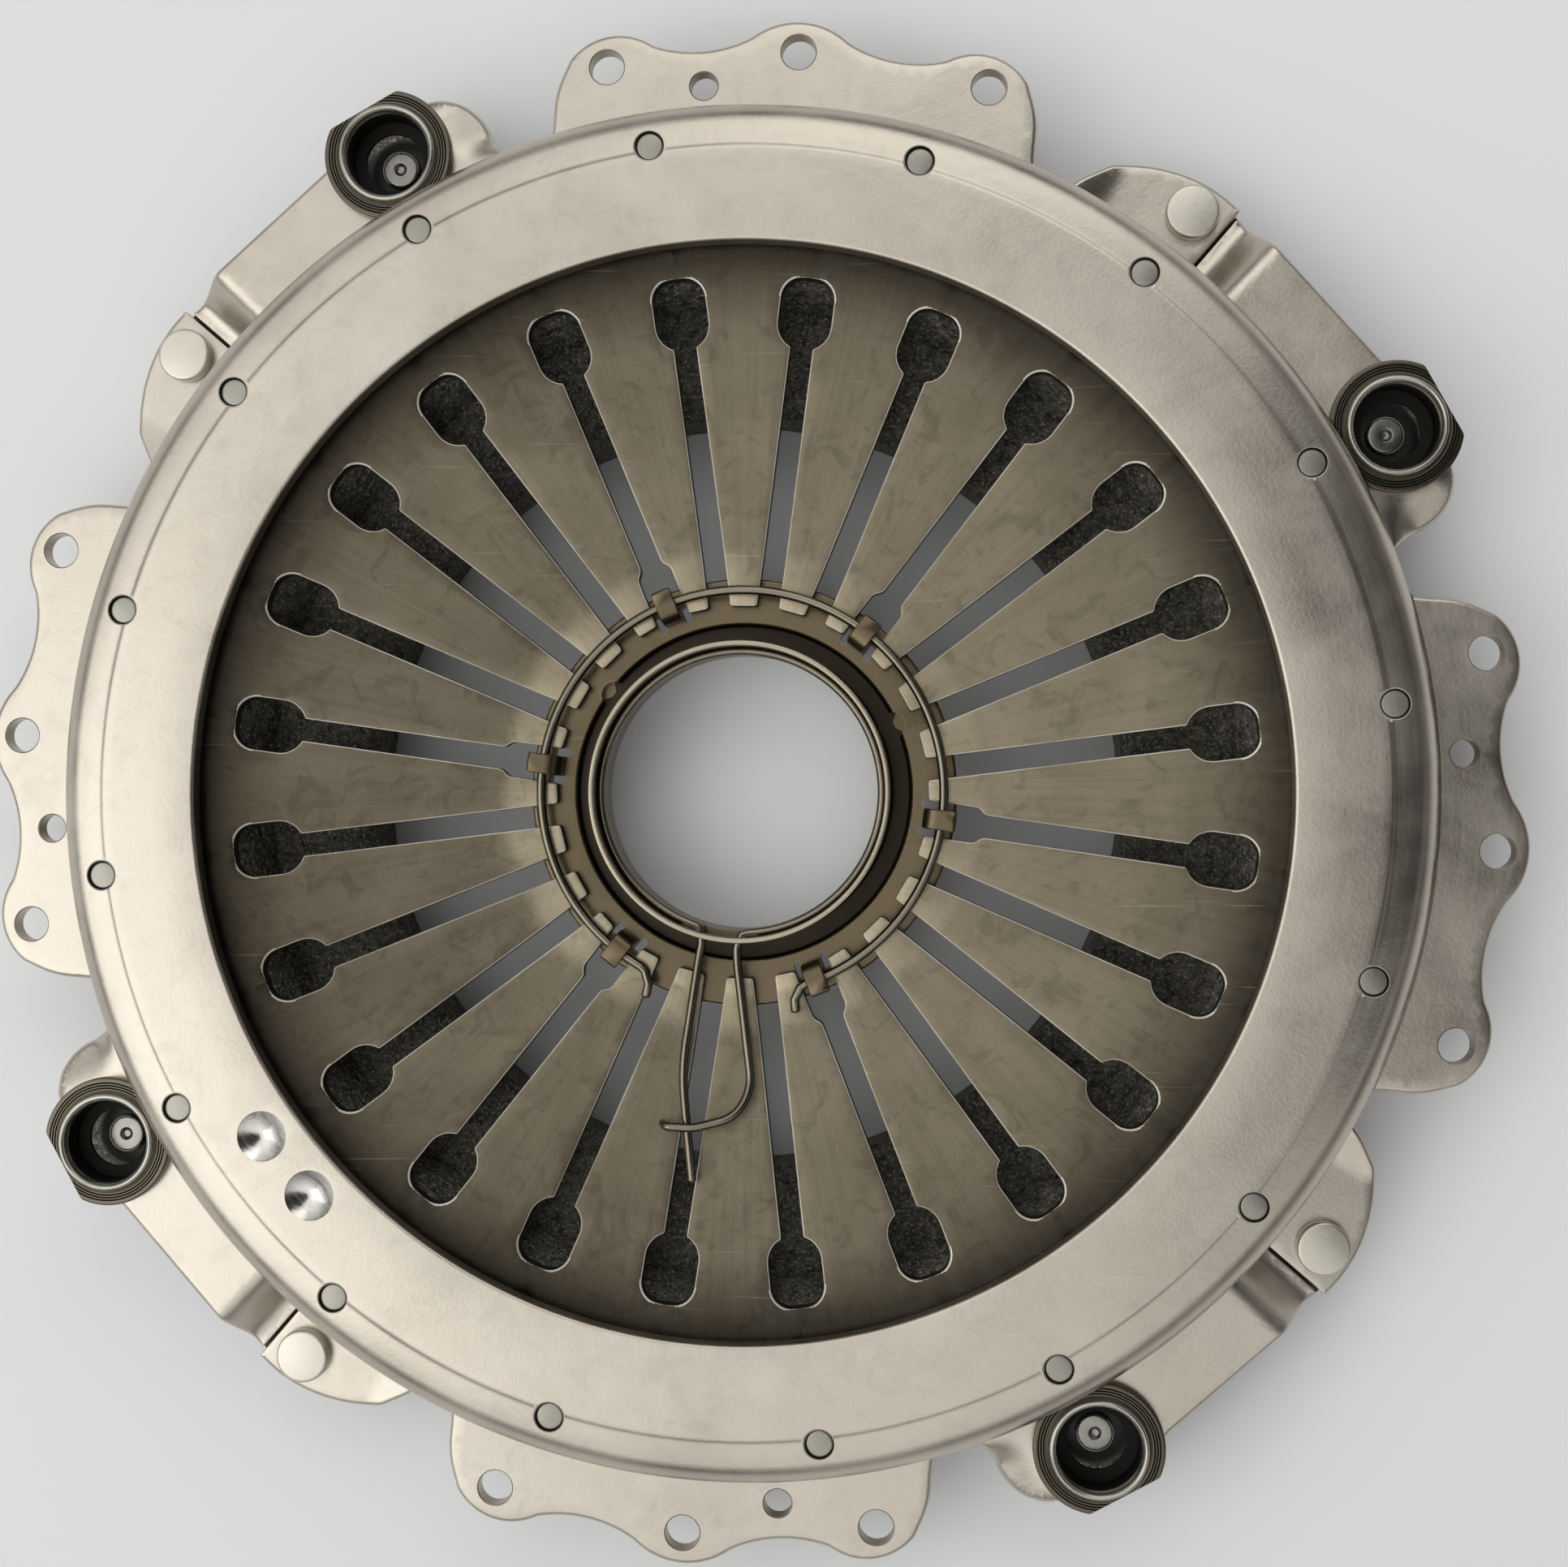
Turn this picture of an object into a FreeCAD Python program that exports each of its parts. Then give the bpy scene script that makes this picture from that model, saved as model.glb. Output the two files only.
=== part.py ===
"""Pull-type diaphragm clutch cover assembly with 24 fingers, free and unbolted.

Axes: Z is the clutch axis and points at the gearbox. Z = 0 is the friction face
of the pressure plate, on which the assembly stands. Millimetres and degrees.
Most radii are measured from the bolt circle, the spring seat or the finger tips.
"""
import FreeCAD, Part
import math
import os

from FreeCAD import Vector

# Bolt flange
BOLT_R = 225.0
BOLT_HOLE_D = 10.5
BOLT_STEP = 15.0
DOWEL_INSET = 10.0
DOWEL_R = BOLT_R - DOWEL_INSET
DOWEL_HOLE_D = 8.5
DOWEL_TURN = 7.5
QUADRANTS = 4
TAB_ANGLE = 85.5
FLANGE_Z = 28.0
EAR_W = 9.5
SCALLOP_W = 1.0
FLANK_W = 4.4
TAB_LOBE_R = BOLT_R + EAR_W
TAB_SCALLOP_R = BOLT_R + SCALLOP_W
TAB_FLANK_R = BOLT_R + FLANK_W

# Pressed cover
SHEET = 6.0
COVER_TOP_Z = 57.0
WALL_INSET = 21.0
WALL_R = BOLT_R - WALL_INSET
SHOULDER_BEND = 9.3
SHOULDER_SLOPE = 0.2
FOOT_BEND = 4.0
SKIRT_Z = 43.0
NECK_Z = 33.0
CREASE_INSET = 14.0
CREASE_R = WALL_R - CREASE_INSET
CREASE_DEPTH = 0.5
CREASE_WIDTH = 2.4
FLANGE_ROOT_R = WALL_R - 2 * SHEET
BEND_STEPS = 3

# Side of a tab in plan: reach beyond the wall and angle from the tab's middle
TAB_SHOULDER = (25.6, 17.7)
TAB_HIP = (18.8, 19.3)
TAB_SIDE = (7.0, 20.4)
TAB_ROOT = (-12.0, 21.7)

# Seat of the diaphragm under the cover, and the cover's opening
FULCRUM_INSET = 21.0
FULCRUM_R = WALL_R - FULCRUM_INSET
FULCRUM_GAP = 0.2
BEAD_DEPTH = 2.0
BEAD_WIDTH = 7.0
OPENING_LIP = 21.6
OPENING_R = FULCRUM_R - OPENING_LIP
OPENING_EDGE = 1.0

# Strap platform, pressed down beside each tab, and the raised seat of the sleeve
STRAP_COVER_ANGLE = 52.0
STRAP_PLATE_ANGLE = 28.9
STRAP_REACH = 17.0
STRAP_R = WALL_R + STRAP_REACH
PLATFORM_DROP = 6.0
SEAT_RISE = 5.0
SEAT_BEND = 1.5
SEAT_FLAT_END = 45.3
SLIT_ANGLE = 49.3
RAMP_GAP = 0.8
RAMP_LAP = 1.0
RAMP_SHARE = 0.75
RAMP_UNDER_SHARE = 0.6

# Plans of the platform and the seat: reach beyond the wall and angle in the first quadrant
PLATFORM_CORNER = (27.0, 49.3)
PLATFORM_CREST = (27.0, 52.0)
PLATFORM_SHOULDER = (25.5, 54.4)
PLATFORM_FLANK = (22.0, 56.9)
PLATFORM_HIP = (16.5, 59.4)
PLATFORM_END = (0.0, 61.9)
SEAT_START = (0.0, 20.6)
SEAT_NECK = (11.0, 21.2)
SEAT_HIP = (23.0, 22.3)
SEAT_LOBE = (27.0, 23.7)
SEAT_CREST = (28.5, 28.9)
SEAT_CHORD = (24.5, 33.9)

# Balance drillings in the top of the cover
BALANCE_ANGLES = (216.05, 223.5)
BALANCE_INSET = 16.5
BALANCE_R = CREASE_R - BALANCE_INSET
BALANCE_D = 15.0
BALANCE_DEPTH = 3.2

# Centring pins round the rim of the diaphragm
PIN_INSET = 12.4
PIN_R = WALL_R - PIN_INSET
PIN_D = 8.4
PIN_RECESS = 2.4
PIN_TAIL_Z = 44.0
PIN_ANGLES = (-33.0, -11.0, 11.0, 33.0)
PIN_EDGE = 0.4

# Diaphragm spring
FINGERS = 24
SPRING_T = 5.0
SPRING_SLOPE = 0.165
SPRING_RIM_GAP = 0.5
FINGER_TIP_R = 56.7
FINGER_FLAT_L = 17.3
FINGER_BEND_R = FINGER_TIP_R + FINGER_FLAT_L
SLOT_W = 6.7
SLOT_ANGLE = 6.9
HOOK_SLOT_W = 10.7
HOOK_SLOT_L = 15.3
HOOK_SLOT_R = FINGER_TIP_R + HOOK_SLOT_L

# Fulcrum ridge of the plate and the finger windows inside it
RIDGE_INSET = 25.0
RIDGE_R = FULCRUM_R - RIDGE_INSET
RIDGE_GAP = 0.2
WINDOW_INSET = 3.5
WINDOW_L = 20.7
WINDOW_W = 16.0
WINDOW_CORNER = 6.8
WINDOW_R_OUT = RIDGE_R - WINDOW_INSET
WINDOW_R_IN = WINDOW_R_OUT - WINDOW_L

# Tangential leaf springs
LEAVES = 3
LEAF_T = 1.2
LEAF_W = 22.0
LEAF_HOLE_GAP = 0.15

# Rivets of the leaf springs
RIVET_D = 10.0
COVER_RIVET_HEAD_D = 16.2
COVER_RIVET_HEAD_H = 4.0
COVER_RIVET_EDGE = 1.0
CLOSED_HEAD_D = 15.0
CLOSED_HEAD_H = 3.6
CLOSED_HEAD_EDGE = 1.0
PLATE_RIVET_HEAD_D = 11.4
PLATE_RIVET_HEAD_H = 3.4
PLATE_RIVET_DIMPLE_D = 3.0
PLATE_RIVET_DIMPLE_H = 1.2
WASHER_D = 19.0
WASHER_T = 2.0

# Flanged stop sleeves
SLEEVE_BORE_D = 24.6
SLEEVE_WALL = 2.3
SLEEVE_FLANGE_W = 7.2
SLEEVE_FLAT_W = 3.2
SLEEVE_TUBE_D = SLEEVE_BORE_D + 2 * SLEEVE_WALL
SLEEVE_FLANGE_D = SLEEVE_BORE_D + 2 * SLEEVE_FLANGE_W
SLEEVE_FLATS = SLEEVE_BORE_D + 2 * SLEEVE_FLAT_W
SLEEVE_FLANGE_T = 3.5
SLEEVE_FLANGE_EDGE = 1.2
SLEEVE_TAIL = 0.6
SLEEVE_HOLE_GAP = 0.1

# Rolled rim of a sleeve: how far it stands out from the bore, and up from the flange
SLEEVE_RIM_FOOT = 3.0
SLEEVE_RIM_SHOULDER = (2.3, 1.6)
SLEEVE_RIM_CREST = (1.4, 2.0)
SLEEVE_RIM_THROAT = (0.4, 1.0)

# Pressure plate
PLATE_OVERHANG = 2.0
PLATE_R = WALL_R + PLATE_OVERHANG
PLATE_BORE_INSET = 42.0
PLATE_BORE_R = RIDGE_R - PLATE_BORE_INSET
PLATE_RIM_T = 18.0
PLATE_LAND_Z = 22.0
PLATE_CHAMFER = 3.0
RIDGE_TOP_W = 6.0
RIDGE_CROWN_W = 2.0
RIDGE_CROWN_H = 1.0
RIDGE_DRAFT_W = 7.0
RIDGE_BREAKS = 12
RIDGE_BREAK_W = 9.0
RIDGE_BREAK_Z = 27.0
RIB_COUNT = 12
RIB_T = 6.0
RIB_INSET = 12.0
RIB_R_OUT = PLATE_R - RIB_INSET
RIB_Z = 30.0
RIB_ROOT_Z = 33.0
LUG_UNDERSIDE_Z = 5.0
LUG_COUNTERBORE_H = 4.0

# Half plan of a lug: reach beyond the straps' circle and distance from its centreline
LUG_ROOT = (-25.0, 22.1)
LUG_SIDE = (-2.0, 19.0)
LUG_SHOULDER = (12.5, 12.5)
LUG_NOSE = (17.5, 0.0)

# Release ring
TIP_GAP = 0.2
COLLAR_MOUTH_R = 43.9
COLLAR_WALL = 1.6
COLLAR_STEP = 1.7
COLLAR_R = COLLAR_MOUTH_R + COLLAR_WALL
COLLAR_BORE_R = COLLAR_MOUTH_R - COLLAR_STEP
COLLAR_RISE = 10.7
COLLAR_TAIL = 9.8
COLLAR_EDGE = 0.6
RING_FLANGE_T = 5.0
RING_LEDGE = 8.8
RING_FLANGE_R = FINGER_TIP_R + RING_LEDGE
RING_GROOVE_W = 5.9
RING_GROOVE_R = COLLAR_R + RING_GROOVE_W
RING_GROOVE_DEPTH = 4.0
NOTCH_ANGLES = (24.0, 143.0)
NOTCH_D = 8.2
NOTCH_SETBACK = 1.6
LEG_WINDOW_ANGLE = 261.2
LEG_WINDOW_W = 24.0
LEG_WINDOW_H = 7.0

# Hooks of the release ring over the wire that traps the finger tips
HOOKS = 6
HOOK_ANGLE = 51.9
HOOK_W = 6.0
HOOK_T = 3.0
HOOK_SETBACK = 1.1
HOOK_REACH = 9.0
HOOK_ROOT_R = FINGER_TIP_R - HOOK_SETBACK
HOOK_NOSE_R = FINGER_TIP_R + HOOK_REACH
HOOK_BEND = 2.2
HOOK_RELIEF_W = 2.6
HOOK_RELIEF_L = 2.8
HOOK_RELIEF_R = FINGER_TIP_R + HOOK_RELIEF_L

# Retaining wire ring
WIRE_D = 2.9
WIRE_LAP = 4.7
WIRE_R = FINGER_TIP_R + WIRE_LAP
WIRE_SEAT_GAP = 0.1
WIRE_START = -74.0
WIRE_SWEEP = 314.0
WIRE_END_R = 5.0
WIRE_END_TURN = 66.0
WIRE_SIDES = 8

# Bearing snap ring with its two long legs
SNAP_D = 2.7
SNAP_INSET = 1.1
SNAP_R = COLLAR_MOUTH_R - SNAP_INSET
SNAP_RISE = 2.4
SNAP_GROOVE_GAP = 0.25
SNAP_LEG_ANGLES = (255.4, 268.4)
SNAP_TURN_R = 4.0

# Bends of the two legs: radius from the snap ring's line, angle, and rise over the fingers
SNAP_LONG_LEG = ((43.2, 258.2, 4.0), (74.2, 263.2, 4.0))
SNAP_SHORT_LEG = ((46.2, 272.4, 4.4), (54.7, 269.5, 6.3), (58.7, 262.4, 7.0),
                  (59.7, 257.8, 6.8), (59.7, 257.2, 3.8))

Z_AXIS = Vector(0, 0, 1)
ORIGIN = Vector(0, 0, 0)
CUT_MARGIN = 5.0
THROUGH = 1.0
HALF_TURN = 180.0
QUARTER_TURN = 90.0

# Heights that follow from the values above
TAB_TOP_Z = FLANGE_Z + SHEET
PLATFORM_TOP_Z = TAB_TOP_Z - PLATFORM_DROP
PLATFORM_UNDERSIDE_Z = PLATFORM_TOP_Z - SHEET
SEAT_TOP_Z = TAB_TOP_Z + SEAT_RISE
SEAT_UNDERSIDE_Z = SEAT_TOP_Z - SHEET
COVER_INSIDE_Z = COVER_TOP_Z - SHEET
FULCRUM_Z = COVER_INSIDE_Z - BEAD_DEPTH - FULCRUM_GAP
SPRING_R = PIN_R - PIN_D / 2 - SPRING_RIM_GAP
SPRING_DROP = SPRING_T * math.sqrt(1 + SPRING_SLOPE**2)
FINGER_TOP_Z = FULCRUM_Z - (FULCRUM_R - FINGER_BEND_R) * SPRING_SLOPE
RING_TOP_Z = FINGER_TOP_Z - SPRING_T - TIP_GAP
COLLAR_TOP_Z = FINGER_TOP_Z + COLLAR_RISE
COLLAR_FOOT_Z = RING_TOP_Z - COLLAR_TAIL
WIRE_Z = FINGER_TOP_Z + WIRE_D / 2 + WIRE_SEAT_GAP
SNAP_Z = FINGER_TOP_Z + SNAP_RISE
LEAF_PACK_T = LEAVES * LEAF_T
LEAF_BOTTOM_Z = PLATFORM_UNDERSIDE_Z - LEAF_PACK_T


def polar(radius, angle, z=0.0):
    """Point at a radius and an angle about the clutch axis."""
    turn = math.radians(angle)
    return Vector(radius * math.cos(turn), radius * math.sin(turn), z)


def beyond_wall(point, side=1):
    """Point of a plan from its reach beyond the cover's wall and its angle."""
    reach, angle = point
    return polar(WALL_R + reach, side * angle)


def turned(shape, angle):
    """Copy of a shape turned about the clutch axis."""
    copy = shape.copy()
    copy.rotate(ORIGIN, Z_AXIS, angle)
    return copy


def placed(shape, place):
    """Copy of a shape moved to a place."""
    copy = shape.copy()
    copy.translate(place)
    return copy


def quadrant_angles(angle):
    return [angle + 2 * HALF_TURN / QUADRANTS * k for k in range(QUADRANTS)]


def line(start, end):
    return Part.LineSegment(start, end).toShape()


def arc(start, middle, end):
    return Part.Arc(start, middle, end).toShape()


def outline(points):
    """Closed wire of straight edges."""
    return Part.makePolygon(list(points) + [points[0]])


def profile(points):
    """Closed wire in the R-Z plane from pairs of radius and height."""
    return outline([Vector(r, 0, z) for r, z in points])


def bend(centre_r, centre_z, radius, start, end):
    """Points of a rounded corner of a profile, between two directions."""
    points = []
    for k in range(BEND_STEPS + 1):
        turn = math.radians(start + (end - start) * k / BEND_STEPS)
        points.append((centre_r + radius * math.cos(turn), centre_z + radius * math.sin(turn)))
    return points


def revolved(wire, sweep=360.0, start=0.0):
    solid = Part.Face(wire).revolve(ORIGIN, Z_AXIS, sweep)
    return turned(solid, start) if start else solid


def ring(inner, outer, bottom, top):
    return revolved(profile([(inner, bottom), (outer, bottom), (outer, top), (inner, top)]))


def prism(wire, bottom, top):
    """Straight block over a closed flat outline drawn at height zero."""
    return placed(Part.Face(wire), Vector(0, 0, bottom)).extrude(Vector(0, 0, top - bottom))


def cylinder(radius, bottom, top, place=ORIGIN):
    return Part.makeCylinder(radius, top - bottom, Vector(place.x, place.y, bottom))


def box(low, high):
    """Block between two opposite corners."""
    size = high - low
    return Part.makeBox(size.x, size.y, size.z, low)


def fused(shapes):
    return shapes[0].multiFuse(shapes[1:]).removeSplitter()


def spring_top_z(radius):
    """Upper face of the free diaphragm at a radius outside the finger bend."""
    return FULCRUM_Z - (FULCRUM_R - radius) * SPRING_SLOPE


# Cover

def dome():
    """Top ring with its seat bead, sloped and rounded shoulder and wall of the pressing."""
    slope = math.atan(SHOULDER_SLOPE)
    lean = QUARTER_TURN - math.degrees(slope)
    bend_r = WALL_R - SHOULDER_BEND
    turn_r = bend_r + SHOULDER_BEND * math.sin(slope)
    turn_z = COVER_TOP_Z - (turn_r - CREASE_R) * SHOULDER_SLOPE
    bend_z = turn_z - SHOULDER_BEND * math.cos(slope)
    half = BEAD_WIDTH / 2
    groove = [(CREASE_R - CREASE_WIDTH, COVER_TOP_Z),
              (CREASE_R - CREASE_WIDTH / 2, COVER_TOP_Z - CREASE_DEPTH), (CREASE_R, COVER_TOP_Z)]
    land = [(r, spring_top_z(r) + FULCRUM_GAP) for r in (FULCRUM_R + half / 2, FULCRUM_R - half / 2)]
    bead = [(FULCRUM_R + half, COVER_INSIDE_Z)] + land + [(FULCRUM_R - half, COVER_INSIDE_Z)]
    rim = [(OPENING_R, COVER_INSIDE_Z), (OPENING_R, COVER_TOP_Z - OPENING_EDGE),
           (OPENING_R + OPENING_EDGE, COVER_TOP_Z)]
    outside = bend(bend_r, bend_z, SHOULDER_BEND, lean, 0) + [(WALL_R, NECK_Z)]
    inside = [(WALL_R - SHEET, NECK_Z)] + bend(bend_r, bend_z, SHOULDER_BEND - SHEET, 0, lean)
    fold = (CREASE_R - SHEET * math.tan(slope / 2), COVER_INSIDE_Z)
    return revolved(profile(rim + groove + outside + inside + [fold] + bead))


def foot(top_z, radius, start, end):
    """Stretch of wall that turns out into a flat flange, between two angles."""
    bottom_z = top_z - SHEET
    reach = TAB_LOBE_R + CUT_MARGIN
    upper = bend(WALL_R + radius, top_z + radius, radius, HALF_TURN, HALF_TURN + QUARTER_TURN)
    lower = bend(WALL_R + radius, top_z + radius, radius + SHEET, HALF_TURN + QUARTER_TURN, HALF_TURN)
    skirt = [(WALL_R - SHEET, SKIRT_Z), (WALL_R, SKIRT_Z)]
    points = upper + [(reach, top_z), (reach, bottom_z)] + lower + skirt
    return revolved(profile(points), end - start, start)


def tab():
    """One bolting tab with three bolt holes and one dowel hole, centred on angle zero."""
    flank = BOLT_STEP / 4
    hollow = BOLT_STEP / 2
    ear = BOLT_STEP
    crest = [arc(beyond_wall(TAB_SHOULDER, -1), polar(TAB_LOBE_R, -ear), polar(TAB_FLANK_R, flank - ear)),
             arc(polar(TAB_FLANK_R, flank - ear), polar(TAB_SCALLOP_R, -hollow), polar(TAB_FLANK_R, -flank)),
             arc(polar(TAB_FLANK_R, -flank), polar(TAB_LOBE_R, 0), polar(TAB_FLANK_R, flank)),
             arc(polar(TAB_FLANK_R, flank), polar(TAB_SCALLOP_R, hollow), polar(TAB_FLANK_R, ear - flank)),
             arc(polar(TAB_FLANK_R, ear - flank), polar(TAB_LOBE_R, ear), beyond_wall(TAB_SHOULDER))]
    side = [beyond_wall(point) for point in (TAB_SHOULDER, TAB_HIP, TAB_SIDE, TAB_ROOT)]
    side += [beyond_wall(point, -1) for point in (TAB_ROOT, TAB_SIDE, TAB_HIP, TAB_SHOULDER)]
    edges = crest + [line(here, there) for here, there in zip(side, side[1:])]
    block = prism(Part.Wire(edges), FLANGE_Z - CUT_MARGIN, SKIRT_Z + CUT_MARGIN)
    reach = TAB_ROOT[1]
    body = foot(TAB_TOP_Z, FOOT_BEND, -reach, reach).common(block)
    low, high = FLANGE_Z - THROUGH, TAB_TOP_Z + THROUGH
    holes = [cylinder(BOLT_HOLE_D / 2, low, high, polar(BOLT_R, angle)) for angle in (-ear, 0, ear)]
    holes.append(cylinder(DOWEL_HOLE_D / 2, low, high, polar(DOWEL_R, DOWEL_TURN)))
    return body.cut(Part.makeCompound(holes))


def platform():
    """Flange pressed down for the fixed end of the leaf springs."""
    end_angle = PLATFORM_END[1]
    start, end = polar(FLANGE_ROOT_R, SLIT_ANGLE), polar(FLANGE_ROOT_R, end_angle)
    corner, crest, shoulder, flank, hip, root = [beyond_wall(point) for point in (
        PLATFORM_CORNER, PLATFORM_CREST, PLATFORM_SHOULDER, PLATFORM_FLANK, PLATFORM_HIP, PLATFORM_END)]
    edges = [arc(corner, crest, shoulder), arc(shoulder, flank, hip), line(hip, root), line(root, end),
             line(end, start), line(start, corner)]
    block = prism(Part.Wire(edges), PLATFORM_UNDERSIDE_Z - CUT_MARGIN, SKIRT_Z + CUT_MARGIN)
    body = foot(PLATFORM_TOP_Z, FOOT_BEND, SLIT_ANGLE, end_angle).common(block)
    hole = cylinder(RIVET_D / 2, PLATFORM_UNDERSIDE_Z - THROUGH, PLATFORM_TOP_Z + THROUGH,
                    polar(STRAP_R, STRAP_COVER_ANGLE))
    return body.cut(hole)


def seat_outline():
    """Plan of the raised seat: a chord past the sleeve and a round end beyond it."""
    start, end = polar(FLANGE_ROOT_R, SEAT_START[1]), polar(FLANGE_ROOT_R, SLIT_ANGLE)
    corner = polar(WALL_R + SEAT_CHORD[0], SLIT_ANGLE)
    root, neck, hip, lobe, crest, chord = [beyond_wall(point) for point in (
        SEAT_START, SEAT_NECK, SEAT_HIP, SEAT_LOBE, SEAT_CREST, SEAT_CHORD)]
    return Part.Wire([line(start, root), line(root, neck), arc(neck, hip, lobe), arc(lobe, crest, chord),
                      line(chord, corner), line(corner, end), line(end, start)])


def seat_ramp():
    """Plate that slopes from the seat down to the height of the strap platform."""
    run = STRAP_R * math.radians(SLIT_ANGLE - SEAT_FLAT_END) - RAMP_GAP
    low = PLATFORM_TOP_Z
    thin = low - SHEET + RAMP_GAP
    side = outline([Vector(0, -RAMP_LAP, SEAT_TOP_Z), Vector(0, run * RAMP_SHARE, low), Vector(0, run, low),
                    Vector(0, run, thin), Vector(0, run * RAMP_UNDER_SHARE, thin),
                    Vector(0, -RAMP_LAP, SEAT_UNDERSIDE_Z)])
    ramp = Part.Face(side).extrude(Vector(TAB_LOBE_R - WALL_R + SHEET, 0, 0))
    return turned(placed(ramp, Vector(WALL_R - SHEET, 0, 0)), SEAT_FLAT_END)


def seat():
    """Raised seat of the sleeve, with the ramp that runs down to the strap platform."""
    block = prism(seat_outline(), PLATFORM_UNDERSIDE_Z - CUT_MARGIN, SKIRT_Z + CUT_MARGIN)
    flat = foot(SEAT_TOP_Z, SEAT_BEND, SEAT_START[1], SEAT_FLAT_END)
    wall = foot(SEAT_TOP_Z, SEAT_BEND, SEAT_FLAT_END, SLIT_ANGLE)
    wall = wall.common(ring(WALL_R - SHEET, WALL_R, PLATFORM_TOP_Z, SKIRT_Z))
    hole = cylinder(SLEEVE_TUBE_D / 2 + SLEEVE_HOLE_GAP, SEAT_UNDERSIDE_Z - THROUGH, SEAT_TOP_Z + THROUGH,
                    polar(STRAP_R, STRAP_PLATE_ANGLE))
    return fused([flat, seat_ramp(), wall]).common(block).cut(hole)


def cover():
    """Steel pressing: dome, four tabs, four strap platforms and four sleeve seats."""
    pieces = [dome()]
    for angle in quadrant_angles(0):
        pieces += [turned(tab(), angle + TAB_ANGLE), turned(platform(), angle), turned(seat(), angle)]
    tools = [cylinder(PIN_D / 2, PIN_TAIL_Z, COVER_TOP_Z + THROUGH, place) for place in pin_places()]
    drill = Part.makeCone(0, BALANCE_D / 2, BALANCE_DEPTH)
    tools += [placed(drill, polar(BALANCE_R, angle, COVER_TOP_Z - BALANCE_DEPTH)) for angle in BALANCE_ANGLES]
    return fused(pieces).cut(Part.makeCompound(tools))


def pin_places():
    middles = quadrant_angles(TAB_ANGLE - HALF_TURN / QUADRANTS)
    return [polar(PIN_R, middle + step) for middle in middles for step in PIN_ANGLES]


def centring_pins():
    """Sixteen round pins pressed into the shoulder, round the rim of the diaphragm."""
    radius = PIN_D / 2
    top = COVER_TOP_Z - PIN_RECESS
    pin = revolved(profile([(0, PIN_TAIL_Z), (radius, PIN_TAIL_Z), (radius, top - PIN_EDGE),
                            (radius - PIN_EDGE, top), (0, top)]))
    return [placed(pin, place) for place in pin_places()]


# Diaphragm spring

def finger_slot(angle, wide):
    """Keyhole between two fingers: a rounded window and a slot to the tips."""
    window = box(Vector(WINDOW_R_IN, -WINDOW_W / 2, 0), Vector(WINDOW_R_OUT, WINDOW_W / 2, COVER_TOP_Z))
    upright = [e for e in window.Edges if e.Length > COVER_TOP_Z - THROUGH]
    window = window.makeFillet(WINDOW_CORNER, upright)
    tip = FINGER_TIP_R - CUT_MARGIN
    slot_end = WINDOW_R_IN + WINDOW_CORNER
    tools = [window, box(Vector(tip, -SLOT_W / 2, 0), Vector(slot_end, SLOT_W / 2, COVER_TOP_Z))]
    if wide:
        tools.append(box(Vector(tip, -HOOK_SLOT_W / 2, 0), Vector(HOOK_SLOT_R, HOOK_SLOT_W / 2, COVER_TOP_Z)))
    return turned(fused(tools), angle)


def diaphragm_spring():
    """Slotted coned disc whose fingers turn level near their tips."""
    rim_z = spring_top_z(SPRING_R)
    blank = revolved(profile([
        (FINGER_TIP_R, FINGER_TOP_Z), (FINGER_BEND_R, FINGER_TOP_Z), (SPRING_R, rim_z),
        (SPRING_R, rim_z - SPRING_DROP), (FINGER_BEND_R, FINGER_TOP_Z - SPRING_T),
        (FINGER_TIP_R, FINGER_TOP_Z - SPRING_T)]))
    step = 2 * HALF_TURN / FINGERS
    per_hook = FINGERS // HOOKS
    first = round((HOOK_ANGLE - SLOT_ANGLE) / step) % per_hook
    slots = [finger_slot(SLOT_ANGLE + step * k, k % per_hook == first) for k in range(FINGERS)]
    return blank.cut(Part.makeCompound(slots))


# Leaf springs and their rivets

def leaf(layer):
    """One leaf of a pack, from the plate's lug to the cover's platform, first quadrant."""
    fixed = polar(STRAP_R, STRAP_COVER_ANGLE)
    moving = polar(STRAP_R, STRAP_PLATE_ANGLE)
    run = fixed - moving
    bottom = LEAF_BOTTOM_Z + LEAF_T * layer
    half = LEAF_W / 2
    near = [Vector(0, half, 0), Vector(-half, 0, 0), Vector(0, -half, 0)]
    far = [Vector(run.Length, -half, 0), Vector(run.Length + half, 0, 0), Vector(run.Length, half, 0)]
    edges = [line(near[2], far[0]), arc(*far), line(far[2], near[0]), arc(*near)]
    strip = prism(Part.Wire(edges), bottom, bottom + LEAF_T)
    hole_r = RIVET_D / 2 + LEAF_HOLE_GAP
    holes = [cylinder(hole_r, bottom - THROUGH, bottom + LEAF_T + THROUGH, Vector(x, 0, 0))
             for x in (0, run.Length)]
    strip = strip.cut(Part.makeCompound(holes))
    strip.rotate(ORIGIN, Z_AXIS, math.degrees(math.atan2(run.y, run.x)))
    return placed(strip, moving)


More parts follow.
